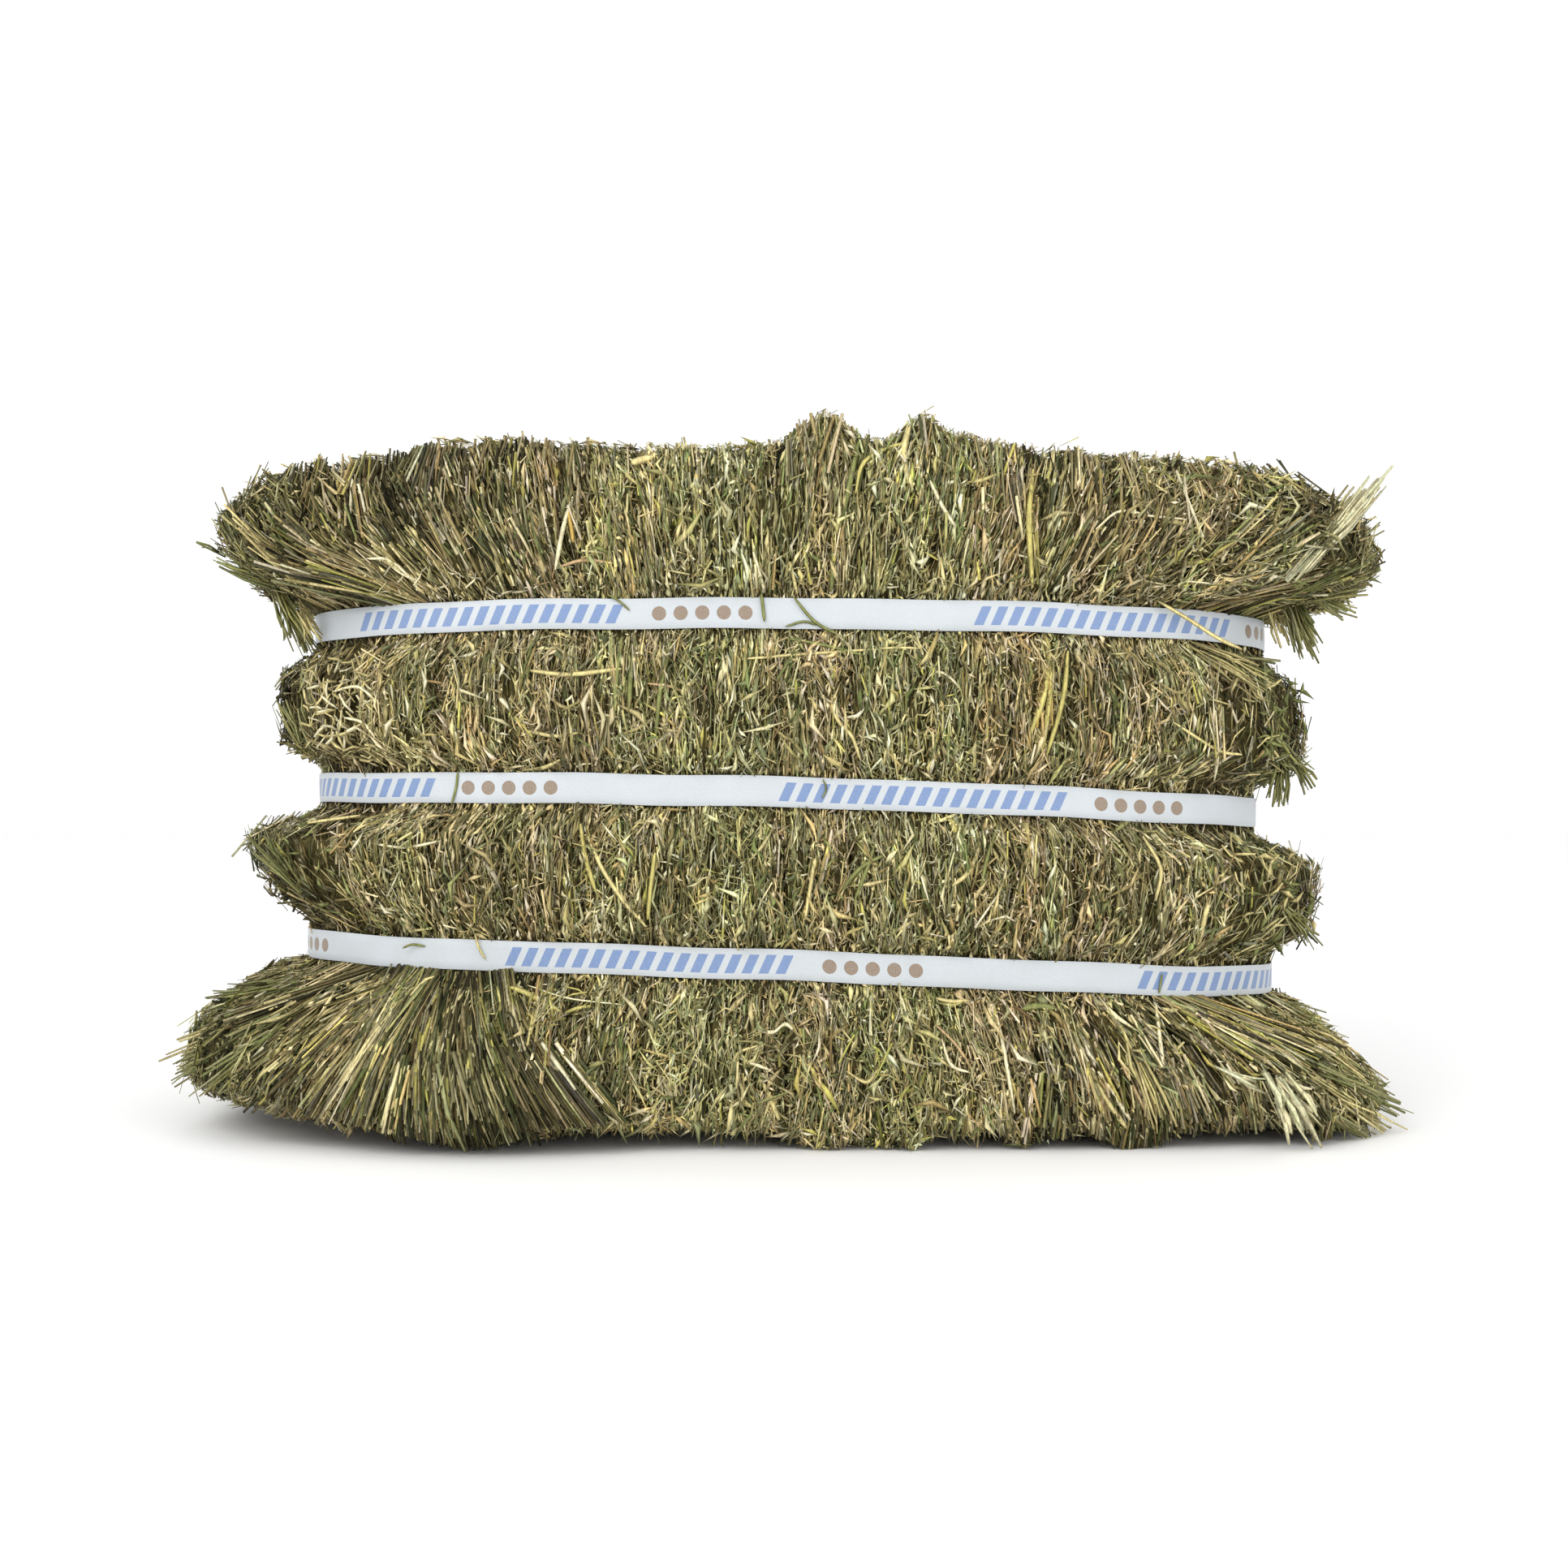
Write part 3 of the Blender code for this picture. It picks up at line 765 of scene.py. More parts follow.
def add_heart(hay, index):
    """Carry the ring from pole to pole and sink it along its normals, so that stems lie over it."""
    across, deep = heart_ring(index)
    inward = np.linspace(0.0, 1.0, HEART_CAP + 1)[1:]
    scale = np.concatenate((inward, np.ones(HEART_UP - 1), inward[::-1]))
    up = np.concatenate((np.zeros(HEART_CAP), np.linspace(0.0, 1.0, HEART_UP + 1)[1:-1], np.ones(HEART_CAP)))
    share = 0.5 + (across[None, :] - 0.5) * scale[:, None]
    depth = deep[None, :] * scale[:, None]
    height = up[:, None] * np.ones_like(depth)
    left = edge_share(index, depth, height)
    right = edge_share(index + 1, depth, height)
    points = hay_point(index, left + share * (right - left), depth, height)
    around = np.roll(points, -1, axis=1) - np.roll(points, 1, axis=1)
    normal = unit(np.cross(around, np.gradient(points, axis=0)))
    inner = (np.abs(normal[..., 0]) > 0.7) & (np.abs(points[..., 0]) < INNER_HALF_LENGTH)
    points = points - normal * np.where(inner, SIDE_SINK, HEART_SINK)[..., None]
    points = press_under_straps(points)
    points[..., 2] = np.maximum(points[..., 2], HEART_LOWEST)

    poles = np.stack((points[0].mean(axis=0), points[-1].mean(axis=0)))
    rings, count = points.shape[:2]
    ring = np.arange(rings - 1)[:, None] * count
    turn = np.arange(count)[None, :]
    following = (turn + 1) % count
    quads = np.stack((ring + turn, ring + following, ring + count + following, ring + count + turn), axis=-1)
    turn, following = turn[0], following[0]
    last = (rings - 1) * count
    bottom = np.stack((following, turn, np.full(count, rings * count)), axis=-1)
    top = np.stack((last + turn, last + following, np.full(count, rings * count + 1)), axis=-1)
    u = np.arange(count + 1) / count
    v = (0.05 + 0.9 * np.arange(rings) / (rings - 1)) * HEART_MAP_SHARE
    grid = np.stack(np.meshgrid(u, v, indexing="xy"), axis=-1)
    quad_map = np.stack((grid[:-1, :-1], grid[:-1, 1:], grid[1:, 1:], grid[1:, :-1]), axis=2)
    below = grid[0, 1:] * [1.0, 0.1]
    above = grid[-1, 1:] * [1.0, 1.04]
    tri_map = np.concatenate((
        np.stack((grid[0, 1:], grid[0, :-1], below), axis=1),
        np.stack((grid[-1, :-1], grid[-1, 1:], above), axis=1),
    ))
    everything = np.concatenate((points.reshape(-1, 3), poles))
    # Fewer stems cover the back, so the heart's painted shade is a little lighter there
    toward_back = np.concatenate((depth.clip(0.0, 1.0).ravel(), [0.0, 0.0]))
    colour_and_shade = SHADOW * (1.0 + BACK_LIGHTER * toward_back)[:, None]
    hay.add_solid(everything, colour_and_shade, quads, np.concatenate((bottom, top)), quad_map, tri_map)


print("a heart has", HEART_UP + 2 * HEART_CAP - 1, "rings")

# %% [markdown]
# ## The way the hay runs
#
# Between the straps the stems run straight up. Beyond the outer straps nothing holds them, and they
# fan out from the strap like the bristles of a broom. The direction could be painted by hand. It is
# taken from the form instead: away from a point a little inside the strap line for the fans, and along
# the height of the form elsewhere.

# %% Directions on the surface
# The fans start this share of the way out from the middle, at these shares of the height
FOCUS = 0.93
FOCUS_UP = (0.265, 0.735)
FRONT_LIKE = ("front", "back")
GRID_ACROSS = 12
GRID_UP = 48


def stem_direction(along, deep, up):
    """Direction in which stems run, pointing up above the middle and down below the lowest strap."""
    step = 0.004
    higher = place_point(along, deep, np.minimum(up + step, 1.0))
    grain = unit(higher - place_point(along, deep, np.maximum(up - step, 0.0)))
    here = place_point(along, deep, up)
    below, above = (
        unit(here - place_point(FOCUS * along, FOCUS * deep, np.full_like(up, height)))
        for height in FOCUS_UP
    )
    into_top = np.clip((up - 0.765) / 0.03, 0.0, 1.0)[..., None]
    into_bottom = np.clip((0.235 - up) / 0.03, 0.0, 1.0)[..., None]
    return unit(grain * (1.0 - into_top - into_bottom) + above * into_top + below * into_bottom)


def face_shares(index, face, first, second):
    """Shares along, deep and up for two shares on one face of a flake."""
    if face in FRONT_LIKE:
        deep, up = np.full_like(first, -1.0 if face == "front" else 1.0), second
    elif face == "end":
        deep, up = 2.0 * first - 1.0, second
    else:
        deep, up = 2.0 * second - 1.0, np.full_like(first, 1.0 if face == "top" else 0.0)
    left = edge_share(index, deep, up)
    along = left + first * (edge_share(index + 1, deep, up) - left)
    if face == "end":
        along = np.full_like(first, -1.0 if index == 0 else 1.0)
    return along, deep, up


def scatter(rng, index, face, density, rows=(0.0, 1.0)):
    """Random shares spread evenly over a face, so many to a square centimetre.

    The face is cut into a grid, and a cell is drawn as often as its area says.
    """
    across, height = np.linspace(0.0, 1.0, GRID_ACROSS + 1), np.linspace(rows[0], rows[1], GRID_UP + 1)
    first, second = np.meshgrid(across, height)
    grid = place_point(*face_shares(index, face, first, second))
    right, ahead = grid[:-1, 1:] - grid[:-1, :-1], grid[1:, :-1] - grid[:-1, :-1]
    area = np.linalg.norm(np.cross(right, ahead), axis=-1)
    count = int(area.sum() * 1e4 * density)
    cell = rng.choice(area.size, count, p=area.ravel() / area.sum())
    place = rng.uniform(0.0, 1.0, (2, count))
    step = (rows[1] - rows[0]) / GRID_UP
    first = (cell % GRID_ACROSS + place[0]) / GRID_ACROSS
    second = rows[0] + (cell // GRID_ACROSS + place[1]) * step
    return face_shares(index, face, first, second)


def face_frame(index, face, along, deep, up):
    """Place, outward normal, stem direction and the two coordinates in the face."""
    here = hay_point(index, along, deep, up)
    step = 0.01
    zero = np.zeros(3)
    x_step, deep_step, up_step = zero + [step, 0, 0], zero + [0, step, 0], zero + [0, 0, step]
    first, second = (x_step, up_step) if face in FRONT_LIKE else (deep_step, up_step)
    if face in ("top", "bottom"):
        first, second = x_step, deep_step
    tangents = []
    for move in (first, second):
        ahead = place_point(along + move[0], deep + move[1], np.minimum(up + move[2], 1.0))
        behind = place_point(along - move[0], deep - move[1], np.maximum(up - move[2], 0.0))
        tangents.append(ahead - behind)
    normal = unit(np.cross(*tangents))
    outward = {"front": (0, -1, 0), "back": (0, 1, 0), "top": (0, 0, 1), "bottom": (0, 0, -1)}
    end = (-1.0 if index == 0 else 1.0, 0, 0)
    toward = np.array(outward.get(face, end), float)
    normal = normal * np.sign(normal @ toward)[:, None]
    across = here[:, 1] if face == "end" else here[:, 0]
    height = here[:, 1] if face in ("top", "bottom") else here[:, 2]
    return here, normal, stem_direction(along, deep, up), across, height


print("stems fan out from", FOCUS, "of the way to the outside, at the outer straps")

# %% [markdown]
# ## Stems that lie in the surface
#
# Most of what is seen lies pressed in the surface: cut stems, leaves, slivers and chips of leaf. They
# follow the way of the hay with a sway that neighbours share, and a few lie across. How calmly they
# lie differs: near the top they are combed, at the floor they are loose, and in the upper right corner,
# where the hay is torn open, they lie in all directions. A stem never crosses a strap: its arms are cut
# back so that it ends a few millimetres under the strap's edge.

# %% Lying stems
PROUD = 0.0016
BURIED = 0.0036
LOCK_LIFT = 0.0022
SWAY = math.radians(12.0)
TUCK = 0.003
ABOVE_FLOOR = 0.0006
PAST_TOP = 0.003
SHORTEST_ARM = 0.0008
# How restless the stems lie at some shares of the height
UNREST_ROWS = (0.0, 0.06, 0.20, 0.25, 0.30, 0.70, 0.78, 0.88, 1.0)
UNREST = (2.1, 2.0, 1.2, 0.8, 1.2, 1.1, 0.8, 0.75, 0.6)


def torn(along, up):
    """1 in the upper right corner, where the hay is torn open and lies in all directions."""
    return np.clip((along - 0.60) / 0.2, 0.0, 1.0) * np.clip((up - 0.74) / 0.04, 0.0, 1.0)


def fanned(along, up):
    """1 in the corners where long stems fan out, 0 in the middle and between the straps."""
    beyond = np.clip((np.abs(up - 0.5) - 0.27) / 0.03, 0.0, 1.0)
    return beyond * np.clip((np.abs(along) - 0.42) / 0.25, 0.0, 1.0) * (1.0 - 0.75 * torn(along, up))


def spread(rng, count, low, high, power=1.0):
    """Random sizes between two limits; a power above one favours the small ones."""
    return low + (high - low) * rng.uniform(0.0, 1.0, count) ** power


def across_and_out(axis, outward):
    """Side and outer direction of stems: the side is square to both, and out completes the three."""
    side = unit(np.cross(outward, axis))
    return side, np.cross(axis, side)


def cut_back(here, up, slope, back, ahead):
    """Shorten a stem's two arms to the room up or down to the next strap, the floor or the top."""
    x, z = here[:, 0], here[:, 2]
    between = [strap_height(name, x) for name in STRAPS]
    levels = np.stack([ABOVE_FLOOR + 0.0 * x] + between + [top_height(x) + PAST_TOP])
    band = np.searchsorted(STRAP_SHARES, up)
    each = np.arange(len(x))
    tuck = 0.5 * STRAP_WIDTH - TUCK
    above = (levels[band + 1, each] - np.where(band < len(STRAPS), tuck, 0.0) - z).clip(SHORTEST_ARM)
    below = (z - levels[band, each] - np.where(band > 0, tuck, 0.0)).clip(SHORTEST_ARM)
    rise = np.abs(slope) + 1e-6
    ahead_room = np.where(slope > 0.0, above, below) / rise
    back_room = np.where(slope > 0.0, below, above) / rise
    return np.minimum(back, back_room), np.minimum(ahead, ahead_room)


def lay(hay, rng, index, face, density, kind, length, width, jitter,
        loose=0.10, stand=2.0, pale=0.0, rings=3, dark=0.0, curl=0.08):
    """Stems on one face, turned in the face by jitter and tipped out of it by stand, in degrees.

    loose is the share that lies across, pale leans to the light colours, dark is taken off the shade as
    more painted shade, and curl is how far a stem bows, as a share of its length. A deeper stem is drawn
    darker: painted shade.
    """
    along, deep, up = scatter(rng, index, face, density)
    if face in FRONT_LIKE:
        x = place_point(along, deep, up)[:, 0]
        kept = 1.0 - 0.7 * fanned(along, up) - 0.6 * layer_place(x, up)[1] * free_of_straps(up)
        kept = rng.uniform(0.0, 1.0, len(along)) < kept
        along, deep, up = along[kept], deep[kept], up[kept]
    count = len(along)
    here, normal, way, first, second = face_frame(index, face, along, deep, up)
    flat = unit(way - normal * np.sum(way * normal, axis=-1, keepdims=True))
    across = np.cross(normal, flat)
    unrest = 1.0
    if face in FRONT_LIKE:
        unrest = np.interp(up, UNREST_ROWS, UNREST) * (1.0 + 0.8 * lumps(0.3 * first, 0.4 * second, 31))
        unrest = unrest.clip(0.15) * (1.0 - 0.6 * fanned(along, up)) + 1.8 * torn(along, up)
    turn = unrest * (np.radians(rng.normal(0.0, jitter, count)) + SWAY * lumps(first, second, 21))
    turn = np.where(rng.uniform(0.0, 1.0, count) < loose * unrest, rng.uniform(-1.45, 1.45, count), turn)
    lean = np.radians(rng.normal(stand, 4.0 + 0.6 * stand, count))
    axis = flat * np.cos(turn)[:, None] + across * np.sin(turn)[:, None]
    axis = unit(axis * np.cos(lean)[:, None] + normal * np.sin(lean)[:, None])

    free = free_of_straps(up)
    depth = rng.uniform(0.0, 1.0, count) ** 1.2
    lift = PROUD * (0.3 + 0.7 * free) - (PROUD + BURIED) * depth
    lift = lift + LOCK_LIFT * free * (lock_value(first, second, 4.0) - 0.6)
    middle = here + normal * lift[:, None]
    size = spread(rng, count, *length, power=1.5)
    part = rng.uniform(0.3, 0.7, count)
    back, ahead = size * part, size * (1.0 - part)
    if face not in ("top", "bottom"):
        back, ahead = cut_back(middle, up, axis[:, 2], back, ahead)
    side, out = across_and_out(axis, normal)
    roll = rng.normal(0.0, 0.45, count)[:, None]
    side, out = side * np.cos(roll) + out * np.sin(roll), out * np.cos(roll) - side * np.sin(roll)

    rings = 2 if kind == "sliver" else rings
    at = np.linspace(0.0, 1.0, rings)
    where = -back[:, None] + (back + ahead)[:, None] * at
    bend = (rng.normal(0.0, curl, count) * (back + ahead))[:, None] * (1.0 - (2.0 * at - 1.0) ** 2)
    path = middle[:, None, :] + axis[:, None, :] * where[..., None] + side[:, None, :] * bend[..., None]
    wide = spread(rng, count, *width, power=1.5)[:, None] * np.ones((1, rings))
    if kind == "cut":
        wide[:, -1] *= rng.uniform(0.4, 1.0, count)
    thick = wide * rng.uniform(0.25, 0.6, count)[:, None]
    colour = patched(here, draw_colours(rng, first, second, here[:, 0], up, pale))
    uneven = (1.0 + 0.12 * rng.normal(0.0, 1.0, (count, rings))).clip(0.6, 1.4)
    # Painted shade: deeper stems are drawn darker, and dark darkens them more
    shade = (1.0 - 0.6 * depth - dark)[:, None] * uneven
    hay.add_stems(kind, path, side, out, wide, thick, colour, shade)


# %% [markdown]
# ## Cut ends that face outwards
#
# On the top, underneath and at the bale's ends the stems were cut across, and their tips look out.
# Neighbours were pushed together, so whole locks stand a little higher or lower and lean one way. This
# is what makes the ragged outline.

# %% Standing stems
END_OUT = 0.010
TOP_OUT = 0.0045
BOTTOM_OUT = 0.002
TIP_ROUGHNESS = 0.0009
TIP_WIDTH = (0.0009, 0.0026)


def stand(hay, rng, index, face, density, splay, outright, length=(0.010, 0.024)):
    """Slivers with their flat edge as the tip; outright is the share of the face's normal in them.

    Each points the way of the hay mixed with the normal, plus a tilt of its own and one of its lock.
    """
    along, deep, up = scatter(rng, index, face, density)
    count = len(along)
    here, normal, way, first, second = face_frame(index, face, along, deep, up)
    sign = np.sign(np.sum(way * normal, axis=-1, keepdims=True))
    tilt = np.stack([lock_value(first, second, seed) - 0.5 for seed in (11.0, 13.0, 17.0)], axis=-1)
    axis = way * sign * (1.0 - outright) + normal * outright
    axis = unit(axis + splay * rng.normal(0.0, 1.0, (count, 3)) + 3.0 * splay * tilt)
    high = lock_value(first, second, 4.0)
    reach = {
        "end": END_OUT * (high - 0.55),
        "top": TOP_OUT * (high - 0.35),
        "bottom": BOTTOM_OUT * (high - 0.5),
    }[face]
    reach = reach * free_of_straps(up) if face == "end" else reach
    tip = here + normal * (reach + rng.normal(0.0, TIP_ROUGHNESS, count))[:, None]
    root = tip - axis * spread(rng, count, *length)[:, None]
    side, out = across_and_out(-axis, rng.normal(0.0, 1.0, (count, 3)))
    wide = spread(rng, count, *TIP_WIDTH, power=1.4)[:, None] * np.ones((1, 2))
    colour = patched(here, draw_colours(rng, first, second, here[:, 0], up))
    # Painted shade: tips on the ends are drawn darker than on the top, low locks darker than high ones, and
    # each root, down in the hay, darker than its tip
    bright = rng.uniform(0.55, 1.05, count) * (0.40 if face == "end" else 0.80) * (0.7 + 0.5 * high)
    shade = np.stack((bright, 0.35 * bright), axis=1)
    hay.add_stems("sliver", np.stack((tip, root), axis=1), side, out, wide, 0.6 * wide, colour, shade)


# %% [markdown]
# ## The fans at the corners
#
# Beyond the outer straps whole stems show. They start just inside the strap line and run out to the
# rim of the flare, overlapping like thatch. Each lock of stems turns and stands out as one.

# %% Stems between the strap and the rim
FAN_ROWS = ((0.0, 0.21), (0.79, 1.0))
FAN_LENGTH = (0.20, 0.55)
FAN_WIDTH = (0.0010, 0.0027)
FAN_PAST_RIM = 0.010
FAN_SHADED = 0.30
# Height of a flare in metres
FAN_HEIGHT = 0.11


def fan(hay, rng, index, face, density, above):
    """Stems that run out along the form; where they end past the rim, their lock decides how far.

    A stem is a stretch of the way from strap to rim. Its lock turns, lifts and shades it, and some
    stems lie in shadow whatever their lock.
    """
    along, deep, up = scatter(rng, index, face, density, FAN_ROWS[above])
    if face in FRONT_LIKE:
        kept = rng.uniform(0.0, 1.0, len(along)) < 0.12 + 0.88 * fanned(along, up)
        along, deep, up = along[kept], deep[kept], up[kept]
    count = len(along)
    share = (up - 0.775) / 0.225 if above else (0.225 - up) / 0.225
    length = rng.uniform(*FAN_LENGTH, count)
    low = (share - 0.5 * length).clip(0.0, 0.8)
    high = (low + length).clip(0.2, 1.0)
    share = np.stack((low, high), axis=1)
    sunk = 1.0 - (1.0 - FOCUS) * 0.35 * (1.0 - share)
    up = 0.772 + 0.222 * share if above else 0.228 - 0.222 * share
    path = hay_point(index, along[:, None] * sunk, deep[:, None] * sunk, up)
    axis = unit(path[:, 1] - path[:, 0])
    outward = unit((path[:, 1] - [0.0, BLOCK_BACK, 0.0]) * [1.0, 1.0, 0.0])
    if face in FRONT_LIKE:
        outward = unit(outward * [0.4, 1.0, 0.0])
    root = (0.17 * deep if face == "end" else 0.37 * along) * 0.6
    away = FAN_HEIGHT * (low + high)
    lock = lock_value(root, away, 4.0)
    lean = 0.55 * (lock_value(root, away, 23.0) - 0.5) + rng.normal(0.0, 0.07, count)
    side, out = across_and_out(axis, outward)
    size = np.linalg.norm(path[:, 1] - path[:, 0], axis=1)
    path[:, 1] += side * (lean * size)[:, None]
    lift = rng.uniform(-0.0024, 0.0014, count) + 0.005 * (lock - 0.5)
    path += outward[:, None, :] * (lift[:, None] + [0.0, 0.0026])[..., None]
    past = 0.001 * rng.uniform(0.0, 1.0, count) + FAN_PAST_RIM * np.abs(along) ** 3 * lock
    past = (high > 0.97) * past
    path[:, 1] += axis * past[:, None]
    side, out = across_and_out(unit(path[:, 1] - path[:, 0]), outward)
    wide = spread(rng, count, *FAN_WIDTH)[:, None] * [1.0, 0.8]
    colour = patched(path.mean(axis=1), draw_colours(rng, root, away, path[:, 0, 0], up[:, 1]))
    # Painted shade: some stems, and the stems of dark locks, are drawn dark as if in the shadow between
    # locks
    shaded = rng.uniform(0.0, 1.0, count) < FAN_SHADED
    bright = np.where(shaded, rng.uniform(0.08, 0.35, count), rng.uniform(0.60, 1.22, count))
    shade = (1.0 - 0.22 * share**3) * (bright * (0.24 + 0.84 * lock))[:, None]
    hay.add_stems("cut", path, side, out, wide, wide * 0.5, colour, shade)


# %% [markdown]
# ## The burst tuft
#
# At the lower left the flake has burst forward out of the bale, and its stems hang like a skirt from
# one spot under the strap. They start close together, bow outwards and end on the floor, and the
# shadow beside them, deepened by dark patches of painted shade, sets the tuft off from the rest.

# %% Stems of the burst tuft
BURST_X = -0.203
BURST_TOP = 0.1085
BURST_HALF_START = 0.040
BURST_ANGLE = math.radians(38.0)
BURST_BOW = 0.014
BURST_STEPS = 3
BURST_LENGTH = (0.030, 0.070)
BURST_WIDTH = (0.0011, 0.0030)
BURST_LIMITS = (-0.80, 0.66)
BURST_SHADED = 0.2


def front_depth(x, z):
    """The front's Y at a place, found from the nearest of many known places on it."""
    along = FRONT_PLACES[None, ..., 0] - x[:, None, None]
    up = FRONT_PLACES[None, ..., 2] - z[:, None, None]
    nearest = (along**2 + up**2).reshape(len(x), -1).argmin(axis=1)
    return FRONT_PLACES[..., 1].ravel()[nearest]


FRONT_PLACES = place_point(*np.meshgrid(np.linspace(-1.0, 0.2, 61), [-1.0], np.linspace(0.0, 0.3, 41)))


def burst(hay, rng, locks, each):
    """Locks of stems: a lock has its own start, angle, layer and brightness, and its stems differ a little.

    The angle grows outwards from the middle, and a stem ends on the floor at the latest.
    """
    count = locks * each
    start, angle, begin, layer, bright = (
        np.repeat(rng.uniform(low, high, locks), each)
        for low, high in ((-1.0, 1.0), (-0.34, 0.34), (-0.10, 0.72), (-0.4, 1.0), (0.0, 1.0))
    )
    angle = angle + BURST_ANGLE * start * np.abs(start) ** 0.2 + rng.normal(0.0, 0.08, count)
    angle = angle.clip(*BURST_LIMITS)
    start = start + rng.normal(0.0, 0.07, count)
    tip = BURST_X + BURST_HALF_START * start + BURST_TOP * np.tan(angle)
    most = (BURST_TOP - 0.001 - lifted_edge(tip)) / np.cos(angle)
    begin = ((begin + rng.normal(0.0, 0.05, count)).clip(0.0, 0.8)) * most
    length = np.minimum(begin + rng.uniform(*BURST_LENGTH, count), most)
    layer = (layer + rng.normal(0.0, 0.10, count))[:, None]
    t = np.linspace(0.0, 1.0, BURST_STEPS)
    run = begin[:, None] + (length - begin)[:, None] * t
    x = BURST_X + BURST_HALF_START * start[:, None] + run * np.sin(angle)[:, None]
    z = BURST_TOP - run * np.cos(angle)[:, None] + 0.004 * np.abs(start)[:, None]
    surface = front_depth(x.ravel(), z.ravel()).reshape(x.shape)
    bow = BURST_BOW * np.sin(1.9 * (run / 0.12).clip(0.0, 1.3)) * (1.0 - 0.55 * np.abs(start)[:, None] ** 3)
    path = np.stack((x, surface - bow * layer - 0.0005 - 0.003 * t**2, z), axis=-1)
    toward_eye = np.array([0.0, -1.0, 0.2]) * np.ones((count, 1))
    side, out = across_and_out(unit(path[:, -1] - path[:, 0]), toward_eye)
    wide = spread(rng, count, *BURST_WIDTH, 1.5)[:, None] * [1.0, 1.0, 0.6]
    colour = patched(path[:, 1], draw_colours(rng, 0.1 * angle, 0.2 * begin, x[:, 1], np.full(count, 0.15)))
    bright = 0.20 + 1.28 * bright**1.3
    # Painted shade: a share of the stems is drawn dark, as if shaded
    shaded = rng.uniform(0.0, 1.0, count) < BURST_SHADED
    bright = bright * np.where(shaded, 0.3, rng.uniform(0.6, 1.2, count))
    shade = bright[:, None] * [0.75, 1.0, 0.85]
    hay.add_stems("cut", path, side, out, wide, wide * 0.5, colour, shade)


# %% [markdown]
# ## Stalks that stand out
#
# A few stalks catch the eye: pale straws that lie across the others, long yellow blades, bits that
# rest on the straps, coarse sheaves that stick out at the corners, locks that hang over the straps'
# ends, and loose straws that gather in some spots. These are set one by one, as a maker of scale models
# would, and the rest are left to chance. A place is given as a pixel of a 1932-pixel picture taken
# from straight ahead and is laid on the form there.

# %% Where pixels fall on the form
# The front, and at its two sides the front half of the ends
SEEN_PAST = 0.3
SEEN_STEPS = np.linspace(-1.0 - SEEN_PAST, 1.0 + SEEN_PAST, 521)
SEEN_RUN, SEEN_UP = np.meshgrid(SEEN_STEPS, np.linspace(0.0, 1.0, 301))
SEEN_ALONG = SEEN_RUN.clip(-1.0, 1.0)
SEEN_PLACES = place_point(SEEN_ALONG, (np.abs(SEEN_RUN) - 1.0).clip(0.0) / SEEN_PAST - 1.0, SEEN_UP)
SEEN_REACH = (SEEN_PLACES[..., 1] - EYE[1]) * PIXEL / EYE_DISTANCE
SEEN_X = 0.5 * PICTURE + (SEEN_PLACES[..., 0] - EYE[0]) / SEEN_REACH
SEEN_Y = 0.5 * PICTURE - (SEEN_PLACES[..., 2] - EYE[2]) / SEEN_REACH


def on_front(px, py):
    """Share along the bale, depth Y and distance in pixels of the front's spot nearest to a pixel."""
    apart = (SEEN_X - px) ** 2 + (SEEN_Y - py) ** 2
    spot = apart.argmin()
    return SEEN_ALONG.ravel()[spot], SEEN_PLACES[..., 1].ravel()[spot], math.sqrt(apart.ravel()[spot])


def at_pixel(px, py, y):
    """The place at depth Y that is seen at a pixel."""
    reach = (y - EYE[1]) * PIXEL / EYE_DISTANCE
    return np.array([EYE[0] + (px - 0.5 * PICTURE) * reach, y, EYE[2] - (py - 0.5 * PICTURE) * reach])


def smooth_path(points, steps):
    """A curve through a few points: each coordinate is a Catmull-Rom spline."""
    points = np.array(points, float)
    padded = np.vstack((2.0 * points[0] - points[1], points, 2.0 * points[-1] - points[-2]))
    at = np.linspace(0.0, len(points) - 1.0, steps)
    k = np.minimum(at.astype(int), len(points) - 2)
    t = (at - k)[:, None]
    a, b, c, d = padded[k], padded[k + 1], padded[k + 2], padded[k + 3]
    curve = 2.0 * b + (c - a) * t + (2.0 * a - 5.0 * b + 4.0 * c - d) * t**2
    return 0.5 * (curve + (3.0 * b - a - 3.0 * c + d) * t**3)


def flake_at(along):
    """Number of the flake at a share along the bale."""
    return int(np.clip(np.searchsorted(EDGES, along) - 1, 0, FLAKE_COUNT - 1))


